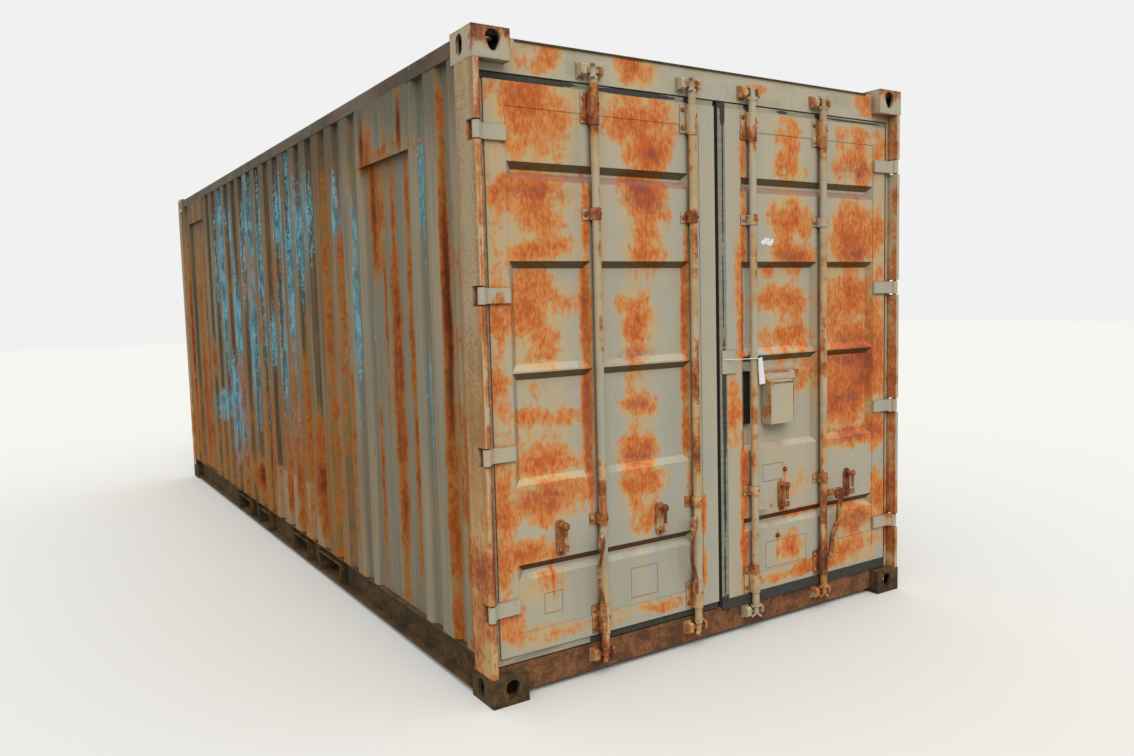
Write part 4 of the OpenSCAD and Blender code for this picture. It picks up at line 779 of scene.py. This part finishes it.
def plain_matt(name, colour, shade, rough=0.7):
    """A small matt piece with faint dirt and a slightly uneven face."""
    r = Recipe(name)
    dirt = r.noise(70, 5, 0.6)
    tone = r.blend(r.times(r.step(dirt, 0.42, 0.7), 0.5), colour, shade)
    return r.finish(tone, rough, dirt, 0.0003)


FINISHES = {
    "left door": door_skin("left_door_paint", LEFT_DOOR_RUST, LEFT_DOOR_STREAKS, LEFT_DOOR_SCRAPES),
    "right door": door_skin("right_door_paint", RIGHT_DOOR_RUST, RIGHT_DOOR_STREAKS, RIGHT_DOOR_SCRAPES),
    "header": header_skin(),
    "side": side_skin(),
    "post": frame_paint("post_paint", 0.12, 0.22, POST_RUST, freckled=0.85),
    "panel": frame_paint("panel_paint", 0.05, 0.15),
    "lock box": frame_paint("lock_box_paint", -0.15, 0.0, LOCK_BOX_RUST),
    "fitting": fitting_paint(),
    "gear": gear_paint("gear_paint", 0.02),
    "bracket": gear_paint("bracket_paint", 0.22),
    "keeper": gear_paint("keeper_paint", 0.62),
    "sill": bare_rust("sill_rust", light=srgb(160, 106, 70), dark=srgb(122, 80, 50), deep=srgb(78, 54, 36),
                      paint_left=0.3),
    "roof": roof_paint(),
    "rust": bare_rust("gear_rust", light=srgb(204, 126, 66), dark=srgb(146, 78, 42), deep=srgb(62, 38, 30),
                      paint_left=0.48),
    "base rust": bare_rust("base_rust", light=srgb(118, 84, 46), dark=srgb(78, 64, 40), deep=srgb(44, 40, 28),
                           paint_left=0.2),
    "rubber": rubber_seal(),
    "wood": boards(),
    "white": plain_matt("tag_white", srgb(244, 244, 242), srgb(222, 220, 214)),
    # painted shade: the dark inside of the strap holes and of the slot beside the lock box
    "painted hole shade": plain_matt("painted_hole_shade", srgb(40, 28, 24), srgb(66, 40, 28), 0.9),
    "line": plain_matt("cut_line", srgb(164, 116, 70), srgb(196, 170, 130), 0.8),
}

NODE_FINISH = {
    "left door": ["door_left_frame", "door_left_sheet"],
    "right door": ["door_right_frame", "door_right_sheet"],
    "header": ["door_header"],
    "side": ["side_wall_left", "side_wall_right", "vent_covers"],
    "post": ["rear_posts", "front_posts"],
    "fitting": ["corner_fittings_top"],
    "panel": ["front_wall", "door_left_hinges", "door_right_hinges", "centre_plate"],
    "lock box": ["lock_box"],
    "roof": ["top_side_rails", "front_top_rail", "roof_sheet"],
    "gear": [stem + str(number) for stem in ("lock_rod_", "cam_set_") for number in (1, 2, 3, 4)],
    "bracket": ["door_left_brackets", "door_right_brackets", "keepers_bottom"],
    "keeper": ["keepers_top", "keeper_lips", "door_left_retainers", "door_right_retainers"],
    "sill": ["door_sill"],
    "rust": ["hinge_pins", "handle_1", "handle_2", "handle_4", "catch_1", "catch_2", "catch_3", "catch_4"],
    "base rust": ["corner_fittings_bottom", "bottom_side_rails", "front_bottom_rail", "cross_members",
                  "fork_pockets"],
    "rubber": ["door_left_gasket", "door_right_gasket"],
    "wood": ["floor_boards"],
}


def dress(piece, finish):
    piece.data.materials.clear()
    piece.data.materials.append(FINISHES[finish])


for finish, nodes in NODE_FINISH.items():
    for node in nodes:
        dress(frame["nodes"][node], finish)


# Small pieces

def deselect():
    bpy.ops.object.select_all(action="DESELECT")


def settle(name):
    """Names the piece just added and puts its place, turn and size into its mesh."""
    piece = bpy.context.object
    piece.name = name
    bpy.ops.object.transform_apply(location=True, rotation=True, scale=True)
    return piece


def block(name, low, high):
    """A box between two corners, to be shaped further."""
    deselect()
    low, high = Vector(low), Vector(high)
    bpy.ops.mesh.primitive_cube_add(size=1, location=(low + high) / 2)
    bpy.context.object.scale = high - low
    return settle(name)


def pick_faces(piece, wanted):
    """Goes into edit mode with only the wanted faces selected, told by their middle and normal."""
    bpy.ops.object.mode_set(mode="EDIT")
    bpy.ops.mesh.select_mode(type="FACE")
    bpy.ops.mesh.select_all(action="DESELECT")
    bpy.ops.object.mode_set(mode="OBJECT")
    for face in piece.data.polygons:
        face.select = bool(wanted(face.center, face.normal))
    bpy.ops.object.mode_set(mode="EDIT")


def leave_edit():
    bpy.ops.object.mode_set(mode="OBJECT")


def use(piece, kind, **settings):
    """Adds a modifier to a piece and applies it."""
    deselect()
    piece.select_set(True)
    bpy.context.view_layer.objects.active = piece
    modifier = piece.modifiers.new(kind.lower(), kind)
    for key, value in settings.items():
        setattr(modifier, key, value)
    bpy.ops.object.modifier_apply(modifier=modifier.name)


def join(pieces, name):
    deselect()
    for piece in pieces:
        piece.select_set(True)
    bpy.context.view_layer.objects.active = pieces[0]
    bpy.ops.object.join()
    pieces[0].name = name
    return pieces[0]


def spread(model, spots, name):
    """Copies of a model, each with its own mesh, moved to their spots and joined."""
    copies = []
    for spot in spots:
        copy = model.copy()
        copy.data = model.data.copy()
        copy.data.transform(Matrix.Translation(spot))
        bpy.context.scene.collection.objects.link(copy)
        copies.append(copy)
    return join(copies, name)


def fit(piece, finish, body):
    """Gives a piece its finish and the body that it moves with."""
    dress(piece, finish)
    deselect()
    piece.select_set(True)
    bpy.context.view_layer.objects.active = piece
    bpy.ops.object.shade_smooth_by_angle(angle=math.radians(35))
    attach(piece, body)


def rivet(radius=0.008, height=0.0055):
    """A domed head on a thin washer, at the origin and facing the doors' way."""
    deselect()
    bpy.ops.mesh.primitive_cylinder_add(vertices=16, radius=radius, depth=height,
                                        location=(height / 2, 0, 0), rotation=(0, math.radians(90), 0))
    head = settle("rivet_head")
    pick_faces(head, lambda middle, normal: normal.x > 0.9)
    bpy.ops.mesh.bevel(offset=height * 0.55, segments=3, affect="EDGES")
    leave_edit()
    bpy.ops.mesh.primitive_cylinder_add(vertices=16, radius=radius * 1.4, depth=0.002,
                                        location=(0.001, 0, 0), rotation=(0, math.radians(90), 0))
    washer = settle("washer")
    pick_faces(washer, lambda middle, normal: normal.x > 0.9)
    bpy.ops.mesh.bevel(offset=0.0007, segments=1, affect="EDGES")
    leave_edit()
    return join([head, washer], "rivet")


def open_hole(turn):
    """The rim and inside of a small drilled hole, facing outwards at a turn from the doors' way; its material
    paints it dark as shade.
    """
    deselect()
    bpy.ops.mesh.primitive_cylinder_add(vertices=14, radius=0.006, depth=0.0024,
                                        rotation=(0, math.radians(90), turn))
    rim = settle("hole")
    ahead = Vector((math.cos(turn), math.sin(turn), 0))
    pick_faces(rim, lambda middle, normal: normal.dot(ahead) > 0.9)
    bpy.ops.mesh.inset(thickness=0.0014, depth=0)
    bpy.ops.mesh.inset(thickness=0.0002, depth=-0.0018)
    leave_edit()
    return rim


# The rod brackets: a strap round each rod with a bolted flange, two bearings and two guides to a rod
STRAP_R = 0.0205
FLANGE_MIDDLE = 0.0375
FLANGE_THK = 0.0035
BEARING_BOLT = 0.038
BEARING_HOLE_RISE = 0.012
HOLE_TURN = math.radians(38)
UPPER_GUIDE_SHARE = 0.781
bearing_levels = [DOOR_TOP - 0.070, 0.240]
guide_levels = [DOOR_FOOT + UPPER_GUIDE_SHARE * (DOOR_TOP - DOOR_FOOT), 0.669]

# The handle retainers: their plate, the rivet's drop below the catch, and how proud the catch stands
RETAINER_THK = 0.006
RETAINER_RIVET_DROP = 0.110
CATCH_SINK = 0.0018


def on_door(door, places):
    """Those of the places, one for each rod, that are on a door."""
    return [place for place, owner in zip(places, DOOR_OF_ROD) if owner == door]


def bracket_bolts():
    """Two bolts on each bearing's flange and one on each guide's, and the hole in every strap."""
    head = rivet()
    hole = open_hole(HOLE_TURN)
    out = Vector((math.cos(HOLE_TURN), math.sin(HOLE_TURN), 0)) * STRAP_R
    for door in ("left_door", "right_door"):
        bolts = []
        holes = []
        for rod in on_door(door, RODS):
            y = rod.y - FLANGE_MIDDLE
            for level in bearing_levels:
                for side in (-1, 1):
                    bolts.append((DOOR_FACE + FLANGE_THK, y, level + side * BEARING_BOLT))
                holes.append((rod.x + out.x, rod.y + out.y, level + BEARING_HOLE_RISE))
            for level in guide_levels:
                bolts.append((SHEET_FACE + FLANGE_THK, y, level))
                holes.append((rod.x + out.x, rod.y + out.y, level))
        fit(spread(head, bolts, door + "_bracket_bolts"), "rust", door)
        # the strap holes get painted shade
        fit(spread(hole, holes, door + "_bracket_holes"), "painted hole shade", door)
    bpy.data.objects.remove(head)
    bpy.data.objects.remove(hole)


def retainer_rivets():
    """A rivet at the foot of each handle retainer, and the nut on its catch."""
    head = rivet(0.008, 0.006)
    nut = rivet(0.010, 0.005)
    for door in ("left_door", "right_door"):
        rivets = []
        nuts = []
        for catch in on_door(door, CATCHES):
            rivets.append((SHEET_FACE + RETAINER_THK, catch.y, catch.z - RETAINER_RIVET_DROP))
            nuts.append((DOOR_END - CATCH_SINK, catch.y, catch.z))
        fit(spread(head, rivets, door + "_retainer_rivets"), "rust", door)
        fit(spread(nut, nuts, door + "_catch_nuts"), "rust", door)
    bpy.data.objects.remove(head)
    bpy.data.objects.remove(nut)


# Where old labels and plates were: from and to across the end, foot and top
OLD_LABELS = {
    "left_door": [(-0.511, -0.364, 0.288, 0.421), (-0.948, -0.860, 0.312, 0.400)],
    "right_door": [(0.393, 0.452, 2.136, 2.181), (0.276, 0.412, 0.693, 0.776), (0.292, 0.572, 0.270, 0.400),
                   (0.800, 1.060, 0.330, 0.400)],
}
CUT_WIDTH = 0.003
CUT_PROUD = 0.0007
CUT_SUNK = 0.0002


def label_lines():
    """The cut paint edges that old labels and plates left on the doors."""
    for door, boxes in OLD_LABELS.items():
        frames = []
        for y0, y1, z0, z1 in boxes:
            outline = block("label_edge", (SHEET_FACE - CUT_SUNK, y0, z0), (SHEET_FACE + CUT_PROUD, y1, z1))
            pick_faces(outline, lambda middle, normal: abs(normal.x) > 0.9)
            bpy.ops.mesh.inset(thickness=CUT_WIDTH, depth=0)
            bpy.ops.mesh.bridge_edge_loops()
            leave_edit()
            frames.append(outline)
        fit(join(frames, door + "_label_edges"), "line", door)


SCRAP_MIDDLE = (0.316, 1.826)
SCRAP_SIZE = (0.080, 0.032)


def torn_label():
    """A torn scrap of a white label on the right door."""
    deselect()
    bpy.ops.mesh.primitive_grid_add(x_subdivisions=10, y_subdivisions=6, size=1,
                                    location=(SHEET_FACE + 0.0004, *SCRAP_MIDDLE),
                                    rotation=(math.radians(90), math.radians(4), math.radians(90)))
    bpy.context.object.scale = (*SCRAP_SIZE, 1)
    scrap = settle("torn_label")
    pick_faces(scrap, lambda middle, normal: (middle.y < 0.290 and middle.z > 1.832)
               or (middle.y > 0.345 and middle.z < 1.818) or (0.300 < middle.y < 0.315 and middle.z < 1.815))
    bpy.ops.mesh.delete(type="FACE")
    bpy.ops.mesh.select_all(action="SELECT")
    bpy.ops.transform.vertex_random(offset=0.0022, seed=4)
    leave_edit()
    use(scrap, "SOLIDIFY", thickness=0.0006, offset=0)
    fit(scrap, "white", "right_door")


# The tag that seals the doors, its strap round the third rod, and how far the strap stands over its plate
TAG_SIZE = (0.033, 0.124)
TAG_THK = 0.0008
TAG_TWIST = math.radians(24)
TAG_DROP = 0.058
STRAP_WIRE_R = 0.0016
STRAP_LOOP_R = 0.0192
STRAP_RISE = 0.064
STRAP_START = 0.036


def seal_tag():
    """A white tag on a stiff strap, from the plate between the doors to the third rod."""
    rod = RODS[2]
    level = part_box("centre_plate")[0].z + STRAP_RISE
    start = Vector((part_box("centre_plate")[1].x, STRAP_START, level + 0.002))
    end = Vector((rod.x + 0.021, rod.y - 0.004, level))
    run = end - start
    deselect()
    bpy.ops.mesh.primitive_cylinder_add(vertices=8, radius=STRAP_WIRE_R, depth=run.length,
                                        location=(start + end) / 2,
                                        rotation=run.to_track_quat("Z", "Y").to_euler())
    strap = settle("strap")
    bpy.ops.mesh.primitive_torus_add(major_radius=STRAP_LOOP_R, minor_radius=STRAP_WIRE_R, major_segments=28,
                                     minor_segments=8, location=(rod.x, rod.y, level))
    loop = settle("strap_loop")
    bpy.ops.mesh.primitive_grid_add(x_subdivisions=4, y_subdivisions=12, size=1)
    tag = bpy.context.object
    tag.scale = (*TAG_SIZE, 1)
    settle("tag")
    use(tag, "SIMPLE_DEFORM", deform_method="TWIST", deform_axis="Y", angle=TAG_TWIST)
    use(tag, "SOLIDIFY", thickness=TAG_THK, offset=0)
    tag.location = (rod.x + 0.025, rod.y + 0.021, level - TAG_DROP)
    tag.rotation_euler = (math.radians(90), math.radians(-6), math.radians(92))
    settle("tag")
    fit(join([tag, strap, loop], "seal_tag"), "white", "right_door")


# The lock box's cover across the end and its height, and the slot beside it: foot and top corner
COVER_LEFT = 0.292
COVER_RIGHT = 0.442
COVER_HGT = 0.204
PAN_FLOOR = DOOR_END - 0.070
SLOT_LOW = (0.152, 0.981)
SLOT_HIGH = (0.200, 1.227)
SLOT_PROUD = 0.021
SLOT_DEPTH = 0.018
SLOT_WALL = 0.003


def box_trim():
    """Folded edges on the lock box, and the slot in the door beside it, painted dark as shade."""
    low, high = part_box("lock_box")
    front = high.x
    foot = low.z
    top = foot + COVER_HGT
    edge = block("box_edge", (front - 0.006, COVER_RIGHT - 0.001, foot + 0.022),
                 (front - 0.003, COVER_RIGHT + 0.007, top - 0.002))
    lip = block("box_lip", (front - 0.001, COVER_LEFT + 0.02, top - 0.012),
                (front + 0.003, COVER_RIGHT - 0.004, top - 0.007))
    for piece in (edge, lip):
        use(piece, "BEVEL", width=0.0009, segments=2)
    fit(join([edge, lip], "lock_box_edges"), "rust", "right_door")
    slot = block("side_slot", (PAN_FLOOR - 0.001, *SLOT_LOW), (PAN_FLOOR + SLOT_PROUD, *SLOT_HIGH))
    pick_faces(slot, lambda middle, normal: normal.x > 0.9)
    bpy.ops.mesh.inset(thickness=SLOT_WALL, depth=0)
    bpy.ops.mesh.inset(thickness=0.0005, depth=-SLOT_DEPTH)
    leave_edit()
    # the slot is painted dark as shade
    fit(slot, "painted hole shade", "right_door")


STUDS = [(0.425, 0.739), (0.372, 0.421)]
STUD_R = 0.009
STUD_HGT = 0.014


def door_studs():
    """Two studs with domed heads on the right door's sheet."""
    head = rivet(STUD_R, STUD_HGT)
    spots = [(SHEET_FACE, y, z) for y, z in STUDS]
    fit(spread(head, spots, "door_studs"), "rust", "right_door")
    bpy.data.objects.remove(head)


FOLD_SHORT = 0.16
WELD_FROM = 0.0735
WELD_TO = 0.0775


def header_edge():
    """The rusty folded edge along the top of the beam over the doors, and the beam's weld."""
    low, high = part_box("door_header")
    strip = block("header_fold", (high.x - 0.003, low.y + FOLD_SHORT, high.z - 0.007),
                  (high.x + 0.006, high.y - FOLD_SHORT, high.z - 0.001))
    pick_faces(strip, lambda middle, normal: True)
    bpy.ops.mesh.subdivide(number_cuts=5)
    bpy.ops.transform.vertex_random(offset=0.0008, seed=8)
    leave_edit()
    fit(strip, "base rust", "box")
    weld = block("header_weld", (high.x - 0.001, WELD_FROM, low.z + 0.012),
                 (high.x + 0.0016, WELD_TO, high.z - 0.01))
    use(weld, "BEVEL", width=0.0012, segments=2)
    fit(weld, "header", "box")


for make in (bracket_bolts, retainer_rivets, label_lines, torn_label, seal_tag, box_trim, door_studs,
             header_edge):
    make()


# Floor

def lay_floor():
    """A pale floor that looks white to the camera and in gloss, and lights the steel like plain ground."""
    bpy.ops.mesh.primitive_plane_add(size=80, location=(0, 0, 0))
    floor = bpy.context.object
    floor.name = "studio_floor"
    material = bpy.data.materials.new("studio_floor")
    material.use_nodes = True
    tree = material.node_tree
    surface = tree.nodes["Principled BSDF"]
    surface.inputs["Roughness"].default_value = 0.9
    surface.inputs["Specular IOR Level"].default_value = 0.1
    path = tree.nodes.new("ShaderNodeLightPath")
    seen = tree.nodes.new("ShaderNodeMath")
    seen.operation = "MAXIMUM"
    tint = tree.nodes.new("ShaderNodeMix")
    tint.data_type = "RGBA"
    tint.inputs[6].default_value = (0.20, 0.205, 0.19, 1)
    tint.inputs[7].default_value = srgb(218, 217, 212)
    tree.links.new(path.outputs["Is Camera Ray"], seen.inputs[0])
    tree.links.new(path.outputs["Is Glossy Ray"], seen.inputs[1])
    tree.links.new(seen.outputs[0], tint.inputs[0])
    tree.links.new(tint.outputs[2], surface.inputs["Base Color"])
    floor.data.materials.append(material)


place_camera()
light_scene()
lay_floor()

bpy.context.scene.view_settings.view_transform = "Standard"
